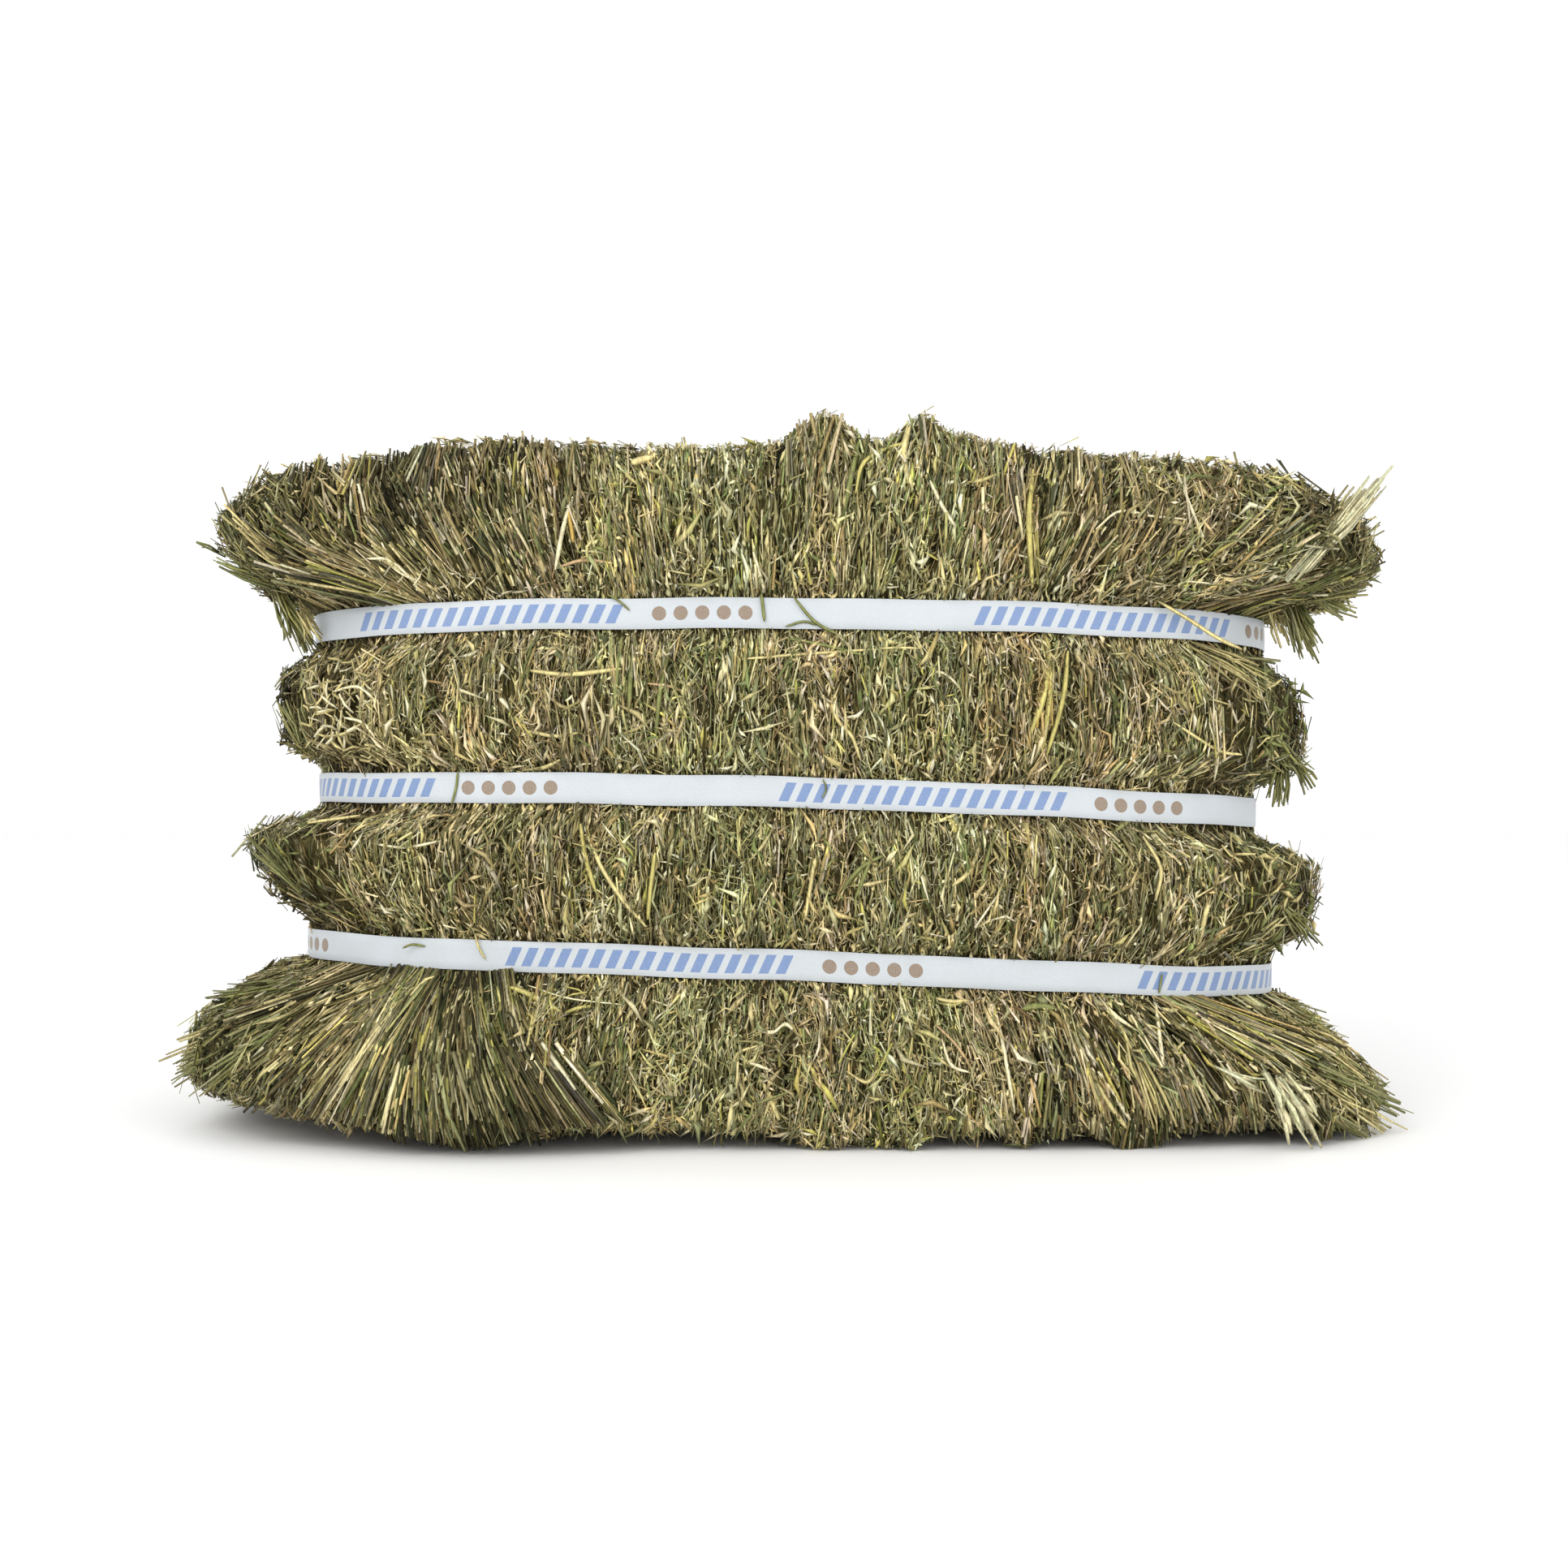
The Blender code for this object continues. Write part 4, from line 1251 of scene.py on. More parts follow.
# Colour, width in millimetres, and the pixels of single stalks that lie on the hay
STALKS = (
    (STALK_STRAW, 2.6, ((652, 826), (700, 831), (766, 824))),
    (STALK_STRAW, 1.6, ((915, 812), (990, 806), (1080, 800))),
    (STALK_STRAW, 1.2, ((1084, 799), (1110, 798), (1136, 799))),
    (STALK_STRAW, 2.4, ((724, 1030), (742, 1070), (768, 1110), (796, 1142))),
    (STALK_CREAM, 2.4, ((706, 612), (694, 650), (684, 702))),
    (STALK_PINK, 2.0, ((690, 698), (720, 690), (756, 694))),
    (STALK_CREAM, 2.2, ((1146, 592), (1160, 622), (1178, 650))),
    (STALK_YELLOW, 3.0, ((1273, 578), (1268, 640), (1272, 724))),
    (STALK_YELLOW, 3.4, ((1292, 782), (1288, 850), (1268, 908))),
    (STALK_YELLOW, 3.0, ((1292, 784), (1294, 850), (1284, 926))),
    (STALK_YELLOW, 2.6, ((1316, 802), (1310, 860), (1290, 930))),
    (STALK_CREAM, 1.6, ((1350, 652), (1380, 630), (1420, 636), (1462, 640))),
    (STALK_CREAM, 1.4, ((1530, 638), (1550, 640), (1570, 640))),
    (STALK_CREAM, 2.4, ((930, 1268), (952, 1272), (968, 1262), (984, 1276))),
    (STALK_PINK, 1.5, ((1152, 1262), (1180, 1290), (1206, 1332))),
    (STALK_CREAM, 1.8, ((1160, 1280), (1172, 1312), (1196, 1322))),
    (STALK_CREAM, 2.2, ((1228, 1250), (1240, 1310), (1250, 1372))),
    (STALK_STRAW, 2.0, ((898, 1336), (908, 1300), (934, 1288))),
    (STALK_CREAM, 2.0, ((912, 1304), (926, 1310), (948, 1318))),
    (STALK_STRAW, 2.2, ((1408, 1030), (1430, 1070), (1424, 1110))),
    (STALK_GREEN, 2.2, ((1230, 1016), (1216, 1060), (1206, 1110))),
    (STALK_CREAM, 1.6, ((462, 1040), (500, 1044), (544, 1036))),
    (STALK_STRAW, 2.6, ((838, 880), (844, 850), (858, 836))),
    (STALK_PINK, 1.6, ((798, 842), (826, 846), (852, 858))),
    (STALK_STRAW, 2.0, ((1016, 858), (1034, 890), (1050, 908), (1060, 936))),
    (STALK_CREAM, 1.6, ((1136, 846), (1152, 828), (1172, 836), (1196, 866))),
    (STALK_GREEN, 2.6, ((826, 790), (814, 850), (808, 906))),
    (STALK_GREEN, 2.2, ((1032, 1102), (1060, 1070), (1092, 1052))),
    (STALK_STRAW, 1.8, ((640, 950), (668, 946), (690, 936))),
    (STALK_CREAM, 1.7, ((424, 884), (446, 890), (462, 908))),
    (STALK_CREAM, 1.7, ((410, 852), (440, 846), (462, 862))),
    (STALK_CREAM, 1.8, ((452, 688), (480, 690), (506, 712))),
    (STALK_CREAM, 1.6, ((470, 668), (486, 700), (514, 716))),
    (STALK_CREAM, 1.6, ((1490, 890), (1500, 930), (1496, 962))),
    (STALK_STRAW, 1.8, ((1446, 890), (1500, 924), (1530, 930))),
    (STALK_STRAW, 2.4, ((590, 1214), (566, 1230), (540, 1262))),
    (STALK_YELLOW, 3.4, ((628, 1216), (652, 1226), (690, 1246))),
    (STALK_YELLOW, 3.0, ((612, 1210), (618, 1240), (624, 1262))),
    (STALK_STRAW, 2.4, ((560, 1184), (520, 1212), (480, 1262), (470, 1290))),
    (STALK_CREAM, 1.0, ((650, 1214), (700, 1230), (768, 1238))),
    (STALK_GREEN, 3.0, ((1060, 536), (1048, 590), (1036, 644))),
    (STALK_STRAW, 3.6, ((1123, 522), (1114, 554), (1120, 596))),
    (STALK_YELLOW, 2.4, ((1118, 545), (1090, 554), (1063, 572), (1054, 608))),
    (STALK_GREEN, 2.4, ((1230, 594), (1210, 632), (1204, 668), (1216, 706))),
    (STALK_GREEN, 2.0, ((1236, 606), (1218, 640), (1222, 690))),
    (STALK_STRAW, 4.4, ((778, 571), (792, 567), (806, 563))),
    (STALK_STRAW, 2.0, ((838, 632), (842, 650), (844, 668))),
    (STALK_CREAM, 1.8, ((928, 680), (936, 706), (942, 730))),
    (STALK_STRAW, 1.8, ((973, 692), (978, 712), (982, 731))),
    (STALK_GREEN, 2.4, ((1027, 668), (1026, 700), (1024, 728))),
    (STALK_CREAM, 2.0, ((898, 560), (905, 570), (910, 579))),
    (STALK_GOLD, 2.4, ((700, 626), (704, 648), (706, 668))),
    (STALK_GREEN, 3.2, ((766, 786), (760, 830), (757, 878))),
    (STALK_GREEN, 2.6, ((782, 788), (777, 832), (775, 872))),
    (STALK_GREEN, 1.8, ((966, 786), (1020, 796), (1066, 808))),
    (STALK_STRAW, 2.2, ((646, 899), (683, 907), (712, 903))),
    (STALK_YELLOW, 2.4, ((807, 1051), (802, 1092), (798, 1133))),
    (STALK_STRAW, 2.6, ((1218, 1008), (1196, 1070), (1173, 1092))),
    (STALK_YELLOW, 3.4, ((1169, 1004), (1174, 1014), (1177, 1026))),
    (STALK_GREEN, 2.2, ((1082, 1026), (1070, 1066), (1053, 1109))),
    (STALK_STRAW, 2.0, ((1004, 1059), (998, 1096), (992, 1133))),
    (STALK_YELLOW, 2.4, ((715, 1015), (722, 1058), (734, 1099))),
    (STALK_CREAM, 2.0, ((434, 590), (433, 612), (431, 635))),
    (STALK_STRAW, 1.8, ((373, 1015), (408, 1010), (444, 1005))),
    (STALK_STRAW, 2.0, ((457, 1221), (459, 1270), (460, 1318))),
    (STALK_STRAW, 2.2, ((1090, 1300), (1070, 1333), (1043, 1320))),
    (STALK_STRAW, 3.0, ((1340, 1313), (1367, 1360), (1388, 1390))),
    (STALK_CREAM, 2.6, ((1353, 1320), (1374, 1350), (1393, 1380))),
    (STALK_PINK, 2.2, ((1377, 1300), (1407, 1360), (1424, 1392))),
    (STALK_CREAM, 2.2, ((1424, 1236), (1430, 1287), (1436, 1333))),
    (STALK_GREEN, 4.0, ((1260, 1243), (1280, 1240), (1300, 1243))),
    (STALK_STRAW, 2.2, ((1153, 1230), (1172, 1234), (1193, 1233))),
    (STALK_STRAW, 2.6, ((940, 1333), (950, 1356), (960, 1380))),
    (STALK_STRAW, 3.0, ((1491, 1104), (1482, 1140), (1474, 1175))),
    (STALK_STRAW, 2.6, ((1338, 1316), (1352, 1352), (1368, 1387))),
    (STALK_CREAM, 1.8, ((1462, 716), (1491, 719), (1492, 726), (1466, 731))),
)
# Bits that lie over the straps rest on the straps' outer face
OVER_STRAPS = (
    (STALK_GREEN, 1.4, ((748, 732), (762, 740), (776, 752))),
    (STALK_GREEN, 2.0, ((938, 730), (940, 748), (942, 766))),
    (STALK_GREEN, 2.0, ((978, 736), (1004, 766), (1036, 784))),
    (STALK_GREEN, 1.6, ((968, 772), (990, 766), (1006, 770))),
    (STALK_STRAW, 2.6, ((1426, 740), (1466, 764), (1500, 786), (1530, 800))),
    (STALK_GREEN, 1.6, ((564, 950), (562, 970), (556, 992))),
    (STALK_GREEN, 1.2, ((1014, 960), (1018, 972), (1013, 984))),
    (STALK_GREEN, 1.6, ((496, 1168), (508, 1164), (524, 1166))),
    (STALK_STRAW, 1.6, ((585, 1150), (590, 1168), (598, 1182))),
    (STALK_GREEN, 1.4, ((1432, 1200), (1430, 1212), (1428, 1224))),
)
# Colour, how many, width, root pixel, tip pixel, scatter at the tip in pixels, rise towards the eye in mm
SHEAVES = (
    (STALK_STRAW, 22, 2.2, (1600, 694), (1682, 600), 13, 6.0),
    (STALK_CREAM, 34, 2.2, (1596, 706), (1704, 582), 12, 20.0),
    (STALK_GREEN, 22, 2.2, (1600, 722), (1704, 652), 16, 4.0),
    (STALK_PINK, 9, 2.6, (1600, 738), (1708, 666), 5, 16.0),
    (STALK_GREEN, 20, 2.2, (1590, 740), (1690, 712), 11, 2.0),
    (STALK_STRAW, 16, 2.0, (1474, 796), (1560, 850), 16, 6.0),
    (STALK_GREEN, 12, 2.2, (1486, 800), (1586, 838), 12, 5.0),
    (STALK_CREAM, 30, 3.4, (1568, 1324), (1602, 1392), 19, 24.0),
    (STALK_CREAM, 7, 2.4, (1500, 1314), (1566, 1342), 6, 14.0),
    (STALK_STRAW, 20, 2.0, (1560, 1240), (1672, 1326), 18, 5.0),
    (STALK_GREEN, 20, 2.0, (1600, 1290), (1710, 1360), 16, 3.0),
    (STALK_STRAW, 22, 1.8, (1620, 1330), (1716, 1400), 11, 6.0),
    (STALK_GREEN, 26, 2.0, (1610, 1310), (1734, 1366), 11, 4.0),
    (STALK_GREEN, 20, 2.0, (1590, 1350), (1690, 1408), 10, 6.0),
    (STALK_STRAW, 16, 2.2, (1400, 1290), (1440, 1380), 18, 6.0),
    (STALK_GOLD, 13, 2.8, (1288, 780), (1284, 915), 10, 4.0),
    (STALK_YELLOW, 14, 2.2, (1266, 590), (1276, 716), 9, 4.0),
    (STALK_GREEN, 14, 2.0, (1590, 1120), (1624, 1158), 11, 4.0),
    (STALK_GREEN, 16, 2.0, (1572, 915), (1604, 962), 9, 3.0),
    (STALK_STRAW, 14, 2.0, (1590, 1050), (1614, 1084), 13, 3.0),
    (STALK_GREEN, 12, 2.0, (330, 716), (262, 680), 10, 0.0),
    (STALK_GREEN, 4, 1.6, (280, 686), (234, 668), 4, 0.0),
    (STALK_STRAW, 18, 2.0, (380, 720), (288, 630), 17, 4.0),
    (STALK_GREEN, 20, 2.2, (372, 1096), (312, 1034), 13, 2.0),
    (STALK_GREEN, 14, 2.0, (376, 920), (352, 860), 13, 2.0),
    (STALK_GREEN, 16, 2.0, (340, 1216), (262, 1230), 13, 0.0),
    (STALK_STRAW, 26, 2.2, (350, 1240), (212, 1306), 13, 4.0),
    (STALK_GREEN, 26, 2.2, (330, 1262), (212, 1330), 12, 4.0),
    (STALK_GREEN, 16, 2.0, (340, 1270), (250, 1340), 12, 4.0),
    (STALK_STRAW, 10, 1.8, (1104, 600), (1124, 528), 9, 0.0),
    (STALK_GREEN, 14, 1.8, (1012, 600), (1022, 524), 11, 0.0),
)
# Locks that hang over the ends of the straps: the same values, with their depth Y at the end
HANGING = (
    (STALK_GREEN, 46, 2.2, (1590, 738), (1616, 806), 13, -0.085),
    (STALK_GREEN, 30, 2.2, (1612, 730), (1660, 752), 11, -0.085),
    (STALK_STRAW, 18, 2.0, (1566, 742), (1584, 790), 8, -0.085),
    (STALK_GREEN, 30, 2.0, (1580, 930), (1572, 992), 10, -0.080),
    (STALK_GREEN, 18, 2.0, (1590, 930), (1614, 972), 9, -0.080),
    (STALK_GREEN, 44, 2.0, (344, 732), (378, 796), 14, -0.085),
    (STALK_STRAW, 14, 2.0, (368, 744), (390, 786), 8, -0.095),
)


STALK_LIFT = 0.0036
BIT_LIFT = 0.0030
TOWARD_EYE = np.array([[0.0, -1.0, 0.0]])


def hand_set(hay_of):
    """Lay the single stalks and the bits over the straps, and give each to the flake under it."""
    rng = np.random.default_rng(SEED + 5)
    jobs = [(*stalk, STALK_LIFT, False) for stalk in STALKS]
    jobs += [(*stalk, BIT_LIFT, True) for stalk in OVER_STRAPS]
    for colour, width, pixels, lift, free in jobs:
        spots = [on_front(px, py) for px, py in pixels]
        depths = [spot[1] - lift for spot in spots]
        nearest = [min(depths)] * len(spots) if free else depths
        steps = 3 + 3 * len(spots)
        path = smooth_path([at_pixel(*pixel, y) for pixel, y in zip(pixels, nearest)], steps)
        t = np.linspace(-1.0, 1.0, steps)
        axis = unit(path[-1] - path[0])[None]
        side, out = across_and_out(axis, TOWARD_EYE)
        wide = (width * (0.0010 if free else 0.0012) * (1.0 - 0.6 * np.abs(t) ** 6))[None]
        shade = (1.0 + 0.08 * rng.normal(0.0, 1.0, steps))[None]
        hay = hay_of[flake_at(spots[len(spots) // 2][0])]
        hay.add_stems("cut", path[None], side, out, wide, wide * 0.4, colour[None], shade, free=free)


LEAF_WIDTH = 3.0
OFF_FORM = 4.0
# Colour, how many, middle pixel, spread in pixels, length and width in mm; the wide ones are leaves
LOOSE = (
    (STALK_STRAW, 110, (428, 872), (38, 46), 11, 1.9),
    (STALK_CREAM, 40, (424, 868), (30, 34), 13, 2.1),
    (STALK_STRAW, 16, (440, 805), (50, 14), 11, 1.6),
    (STALK_CREAM, 22, (484, 712), (44, 20), 12, 1.8),
    (STALK_CREAM, 12, (605, 716), (50, 14), 12, 1.8),
    (STALK_PINK, 6, (700, 700), (40, 16), 12, 1.6),
    (STALK_STRAW, 22, (1505, 905), (46, 46), 15, 1.9),
    (STALK_STRAW, 20, (1560, 1085), (36, 40), 14, 1.8),
    (STALK_GREEN, 60, (860, 1330), (110, 34), 10, 2.0),
    (STALK_GREEN, 40, (1060, 1262), (80, 44), 10, 2.0),
    (STALK_STRAW, 34, (1340, 1260), (80, 50), 12, 2.0),
    (STALK_YELLOW, 12, (668, 1238), (34, 16), 15, 2.6),
    (STALK_STRAW, 26, (560, 1104), (80, 18), 10, 1.6),
    (STALK_STRAW, 40, (1120, 880), (130, 40), 10, 1.5),
    (STALK_CREAM, 26, (760, 890), (140, 40), 9, 1.6),
    (STALK_GREEN, 26, (860, 838), (60, 26), 11, 1.8),
    (STALK_CREAM, 30, (1040, 1090), (260, 26), 9, 1.6),
    (STALK_CREAM, 40, (1020, 660), (380, 50), 10, 1.5),
    (STALK_PINK, 16, (1150, 870), (200, 40), 12, 1.8),
    (STALK_BROWN, 46, (1618, 658), (34, 32), 14, 3.0),
    (STALK_GREEN, 30, (1650, 700), (44, 50), 17, 3.8),
    (STALK_GREEN, 34, (1590, 880), (24, 50), 16, 3.8),
    (STALK_STRAW, 22, (1592, 1090), (26, 46), 16, 3.6),
    (STALK_GREEN, 26, (1580, 1120), (26, 40), 16, 3.8),
    (STALK_GREEN, 30, (1660, 1320), (40, 50), 15, 3.4),
    (STALK_GREEN, 26, (362, 1060), (34, 50), 14, 3.2),
    (STALK_YELLOW, 12, (650, 1236), (40, 22), 20, 3.6),
)


def strew(hay_of):
    """Loose straws that lie in any direction around a spot, each with a slight kink in its middle."""
    rng = np.random.default_rng(SEED + 8)
    for colour, count, middle, reach, length, width in LOOSE:
        for _ in range(count):
            px, py = (np.array(middle) + rng.uniform(-1.4, 1.4, 2) * reach).tolist()
            along, y, apart = on_front(px, py)
            if apart > OFF_FORM:
                continue
            angle = rng.uniform(0.0, math.pi)
            half = 0.0005 * length * rng.uniform(0.5, 1.2)
            axis = np.array([math.cos(angle), rng.normal(0.0, 0.12), math.sin(angle)])
            kink = np.array([-math.sin(angle), 0.0, math.cos(angle)]) * rng.normal(0.0, 0.22) * half
            place = at_pixel(px, py, y - rng.uniform(0.0006, 0.0026))
            path = np.stack((place - half * axis, place + kink, place + half * axis))[None]
            side, out = across_and_out(unit(axis)[None], TOWARD_EYE)
            wide = 0.001 * width * rng.uniform(0.5, 1.1) * np.array([[0.8, 1.0, 0.7]])
            shade = rng.uniform(0.5, 1.1) * np.array([[0.85, 1.0, 0.9]])
            kind = "cut" if width < LEAF_WIDTH else "leaf"
            hay = hay_of[flake_at(along)]
            hay.add_stems(kind, path, side, out, wide, wide * 0.3, colour[None], shade)


def set_sheaves(hay_of):
    """Coarse stalks that run together from a root to a wider spread of tips, bowed towards the eye."""
    rng = np.random.default_rng(SEED + 6)
    jobs = [(*sheaf, None) for sheaf in SHEAVES] + [(*lock[:6], 0.0, lock[6]) for lock in HANGING]
    for colour, count, width, root, tip, scattered, rise, depth in jobs:
        along, y, _ = on_front(*root)
        begin = at_pixel(*root, y - 0.003 - 0.0004 * rise if depth is None else depth)
        end = at_pixel(*tip, on_front(*tip)[1] - 0.0006 * rise if depth is None else depth)
        fanned = rng.uniform(-1.4, 1.4, (count, 3)) * scattered * PIXEL * [1.0, 0.9, 1.0]
        tips = begin + (end - begin) * rng.uniform(0.6, 1.0, (count, 1)) + fanned
        roots = begin + (end - begin) * rng.uniform(-0.1, 0.45, (count, 1)) + 0.5 * fanned
        tips[:, 2] = np.maximum(tips[:, 2], 0.001)
        t = np.array([0.0, 0.5, 1.0])[None, :, None]
        path = roots[:, None, :] + (tips - roots)[:, None, :] * t
        path += rng.normal(0.0, 0.0008, (count, 3, 3))
        path[:, 1, 1] -= 0.0004 * rise
        side, out = across_and_out(unit(tips - roots), TOWARD_EYE * np.ones((count, 1)))
        wide = width * 0.001 * rng.uniform(0.4, 1.1, (count, 1)) * np.array([0.8, 1.0, 0.7])
        drawn = draw_colours(rng, roots[:, 0], roots[:, 2], roots[:, 0], np.full(count, 0.6))
        mixed = (0.75 * colour + 0.25 * drawn).clip(0.0, 0.8)
        shade = rng.uniform(0.55, 1.2, (count, 1)) * np.array([0.75, 1.0, 0.95])
        hay = hay_of[flake_at(along)]
        hay.add_stems("cut", path, side, out, wide, wide * 0.5, mixed, shade, free=depth is not None)


print("stalks set by hand", len(STALKS) + len(OVER_STRAPS))
print("sheaves", len(SHEAVES), "hanging locks", len(HANGING), "spots of loose straws", len(LOOSE))

# %% [markdown]
# ## The stuff of the stems: dry grass
#
# Dry grass is plant fibre with a thin waxy skin. It is matt in the gaps and has a weak, broad shine
# along the stem. Its index of refraction is near 1.45 and its roughness between 0.6 and 0.8. The
# stem's own colour, with its painted shade, comes from its vertices, and noise drawn out along the
# height adds the fine ribs.


# %% Nodes and the hay material
# Ribs 1.2 mm apart and 14 mm long, and mottling of about 4 mm
RIBS_PER_METRE = (830.0, 830.0, 70.0)
MOTTLES_PER_METRE = 260.0
RIB_DEPTH = 0.0006


def add_node(tree, kind, settings, inputs):
    """Add a node with its settings; each named or numbered input gets a value, or a link from a socket."""
    node = tree.nodes.new(kind)
    for name, value in settings.items():
        setattr(node, name, value)
    for slot, value in inputs.items():
        if isinstance(value, bpy.types.NodeSocket):
            tree.links.new(value, node.inputs[slot])
        else:
            node.inputs[slot].default_value = value
    return node


def hay_material(name, darkest, lightest, bump_strength):
    """Cured grass: vertex colour with its painted shade, ribs 1.2 mm apart and 14 mm long, mottling, weak
    waxy shine.
    """
    material = bpy.data.materials.new(name)
    material.use_nodes = True
    tree = material.node_tree
    shader = tree.nodes["Principled BSDF"]
    colour_and_shade = add_node(tree, "ShaderNodeAttribute", {"attribute_name": "colour_and_shade"}, {})
    place = add_node(tree, "ShaderNodeTexCoord", {}, {}).outputs["Object"]
    drawn = add_node(tree, "ShaderNodeMapping", {}, {"Vector": place, "Scale": RIBS_PER_METRE})
    fine = {"Vector": drawn.outputs["Vector"], "Scale": 1.0, "Detail": 3.0, "Roughness": 0.6}
    ribs = add_node(tree, "ShaderNodeTexNoise", {}, fine).outputs["Fac"]
    coarse = {"Vector": place, "Scale": MOTTLES_PER_METRE, "Detail": 2.0}
    mottle = add_node(tree, "ShaderNodeTexNoise", {}, coarse).outputs["Fac"]
    colour = colour_and_shade.outputs["Color"]
    for noise, low, high in ((ribs, darkest, lightest), (mottle, 0.84, 1.12)):
        limits = {"Value": noise, "From Min": 0.3, "From Max": 0.7, "To Min": low, "To Max": high}
        factor = add_node(tree, "ShaderNodeMapRange", {}, limits).outputs["Result"]
        inputs = {"Vector": colour, "Scale": factor}
        scaled = add_node(tree, "ShaderNodeVectorMath", {"operation": "SCALE"}, inputs)
        colour = scaled.outputs["Vector"]
    limits = {"Value": ribs, "From Min": 0.3, "From Max": 0.7, "To Min": 0.8, "To Max": 0.6}
    rough = add_node(tree, "ShaderNodeMapRange", {}, limits)
    relief = {"Height": ribs, "Strength": bump_strength, "Distance": RIB_DEPTH}
    bump = add_node(tree, "ShaderNodeBump", {}, relief)
    tree.links.new(colour, shader.inputs["Base Color"])
    tree.links.new(rough.outputs["Result"], shader.inputs["Roughness"])
    tree.links.new(bump.outputs["Normal"], shader.inputs["Normal"])
    shader.inputs["IOR"].default_value = 1.45
    shader.inputs["Specular IOR Level"].default_value = 0.12
    return material


stem_finish = hay_material("cured_grass", 0.66, 1.3, 0.3)
# The heart's ribs run down to near black: painted shade in the gaps between stems
heart_shade_finish = hay_material("packed_grass_painted_shade", 0.10, 1.7, 1.0)
print("materials", stem_finish.name, heart_shade_finish.name)

# %% [markdown]
# ## Building the flakes
#
# Each flake is one piece. How many stems lie on a square centimetre differs from face to face:
# the front carries the most, and the bottom, which is never seen, the fewest. On every face the sorts
# of hay lie mixed: cut stems, leaves, fine slivers, coarse blades, chips of leaf and chaff.


# %% Fill every flake
# Stems on a square centimetre, form, limits of length and of width, jitter, and what else lay() takes
SIDE_HAY = (
    (3.7, "cut", (0.006, 0.027), (0.0008, 0.0019), 9.0, {"rings": 2}),
    (4.4, "leaf", (0.005, 0.021), (0.0010, 0.0028), 14.0, {"loose": 0.18, "pale": 0.1}),
    (6.6, "sliver", (0.004, 0.018), (0.0006, 0.0015), 14.0, {"loose": 0.16}),
    (2.4, "sliver", (0.016, 0.036), (0.0004, 0.0009), 5.0, {"loose": 0.04}),
    (1.3, "leaf", (0.012, 0.036), (0.0022, 0.0044), 20.0,
     {"loose": 0.25, "stand": 3.0, "pale": 0.2, "curl": 0.14}),
    (3.0, "leaf", (0.003, 0.008), (0.0010, 0.0026), 40.0, {"loose": 0.6, "stand": 6.0, "pale": 0.3}),
    (4.2, "sliver", (0.002, 0.006), (0.0009, 0.0020), 45.0, {"loose": 0.8, "stand": 9.0, "pale": 0.35}),
)
LEVEL_HAY = (
    (2.6, "leaf", (0.005, 0.024), (0.0012, 0.0034), 60.0, {"loose": 0.6, "stand": 8.0}),
    (5.6, "sliver", (0.004, 0.017), (0.0010, 0.0026), 60.0, {"loose": 0.6, "stand": 12.0}),
)
# On the ends dark draws the stems darker: painted shade of the sides turned from the light
END_HAY = (
    (1.5, "cut", (0.008, 0.036), (0.0009, 0.0022), 16.0,
     {"loose": 0.2, "stand": 5.0, "rings": 2, "dark": 0.1}),
    (1.6, "leaf", (0.006, 0.026), (0.0012, 0.0032), 22.0, {"loose": 0.25, "stand": 8.0, "dark": 0.1}),
    (2.0, "sliver", (0.006, 0.024), (0.0009, 0.0020), 22.0, {"loose": 0.25, "stand": 8.0, "dark": 0.1}),
)
BACK_SHARE = 0.37
BACK_FAN_SHARE = 0.4
BOTTOM_SHARE = 0.25
TOP_TIPS = 6.0
END_TIPS = 4.0
FAN_STEMS = 6.4
END_FAN_STEMS = 1.3
BURST_LOCKS = 150
BURST_EACH = 12


def lay_all(hay, rng, index, face, much, sorts):
    """All sorts of lying hay on one face, one after the other."""
    for density, kind, length, width, jitter, more in sorts:
        lay(hay, rng, index, face, density * much, kind, length, width, jitter, **more)


def fill_flake(index):
    """All the hay of one flake that is left to chance."""
    rng = np.random.default_rng(SEED + 1000 + index)
    hay = HayMesh()
    add_heart(hay, index)
    at_end = index in (0, FLAKE_COUNT - 1)
    for face, much in (("front", 1.0), ("back", BACK_SHARE)):
        lay_all(hay, rng, index, face, much, SIDE_HAY)
    for face, much in (("top", 1.0), ("bottom", BOTTOM_SHARE)):
        stand(hay, rng, index, face, TOP_TIPS * much, 0.12, 0.15)
        lay_all(hay, rng, index, face, much, LEVEL_HAY)
    if at_end:
        lay_all(hay, rng, index, "end", 1.0, END_HAY)
        stand(hay, rng, index, "end", END_TIPS, 0.20, 0.55)
    for above in (True, False):
        fan(hay, rng, index, "front", FAN_STEMS, above)
        fan(hay, rng, index, "back", BACK_FAN_SHARE * FAN_STEMS, above)
        if at_end:
            fan(hay, rng, index, "end", END_FAN_STEMS, above)
    return hay


hay_of = [fill_flake(index) for index in range(FLAKE_COUNT)]
burst(hay_of[1], np.random.default_rng(SEED + 7), BURST_LOCKS, BURST_EACH)
hand_set(hay_of)
set_sheaves(hay_of)
strew(hay_of)
flakes = []
for index, hay in enumerate(hay_of):
    name = f"flake_{index + 1:02d}"
    piece = hay.write(f"{name}_hay", (stem_finish, heart_shade_finish))
    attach(piece, "root")
    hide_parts(name)
    flakes.append(piece)

# %% [markdown]
# ## The straps: embossed polypropylene
#
# Baling strap is polypropylene, drawn out and rolled with a fine diagonal pattern that makes it stiff
# and keeps it from splitting. It is white with a cool cast, has a satin shine, and is printed in
# blue and brown ink, here with a plain row of slanted bars and round dots. The strap is a rounded
# strip carried round the bale's outline, and its own map, in metres, holds the pattern.

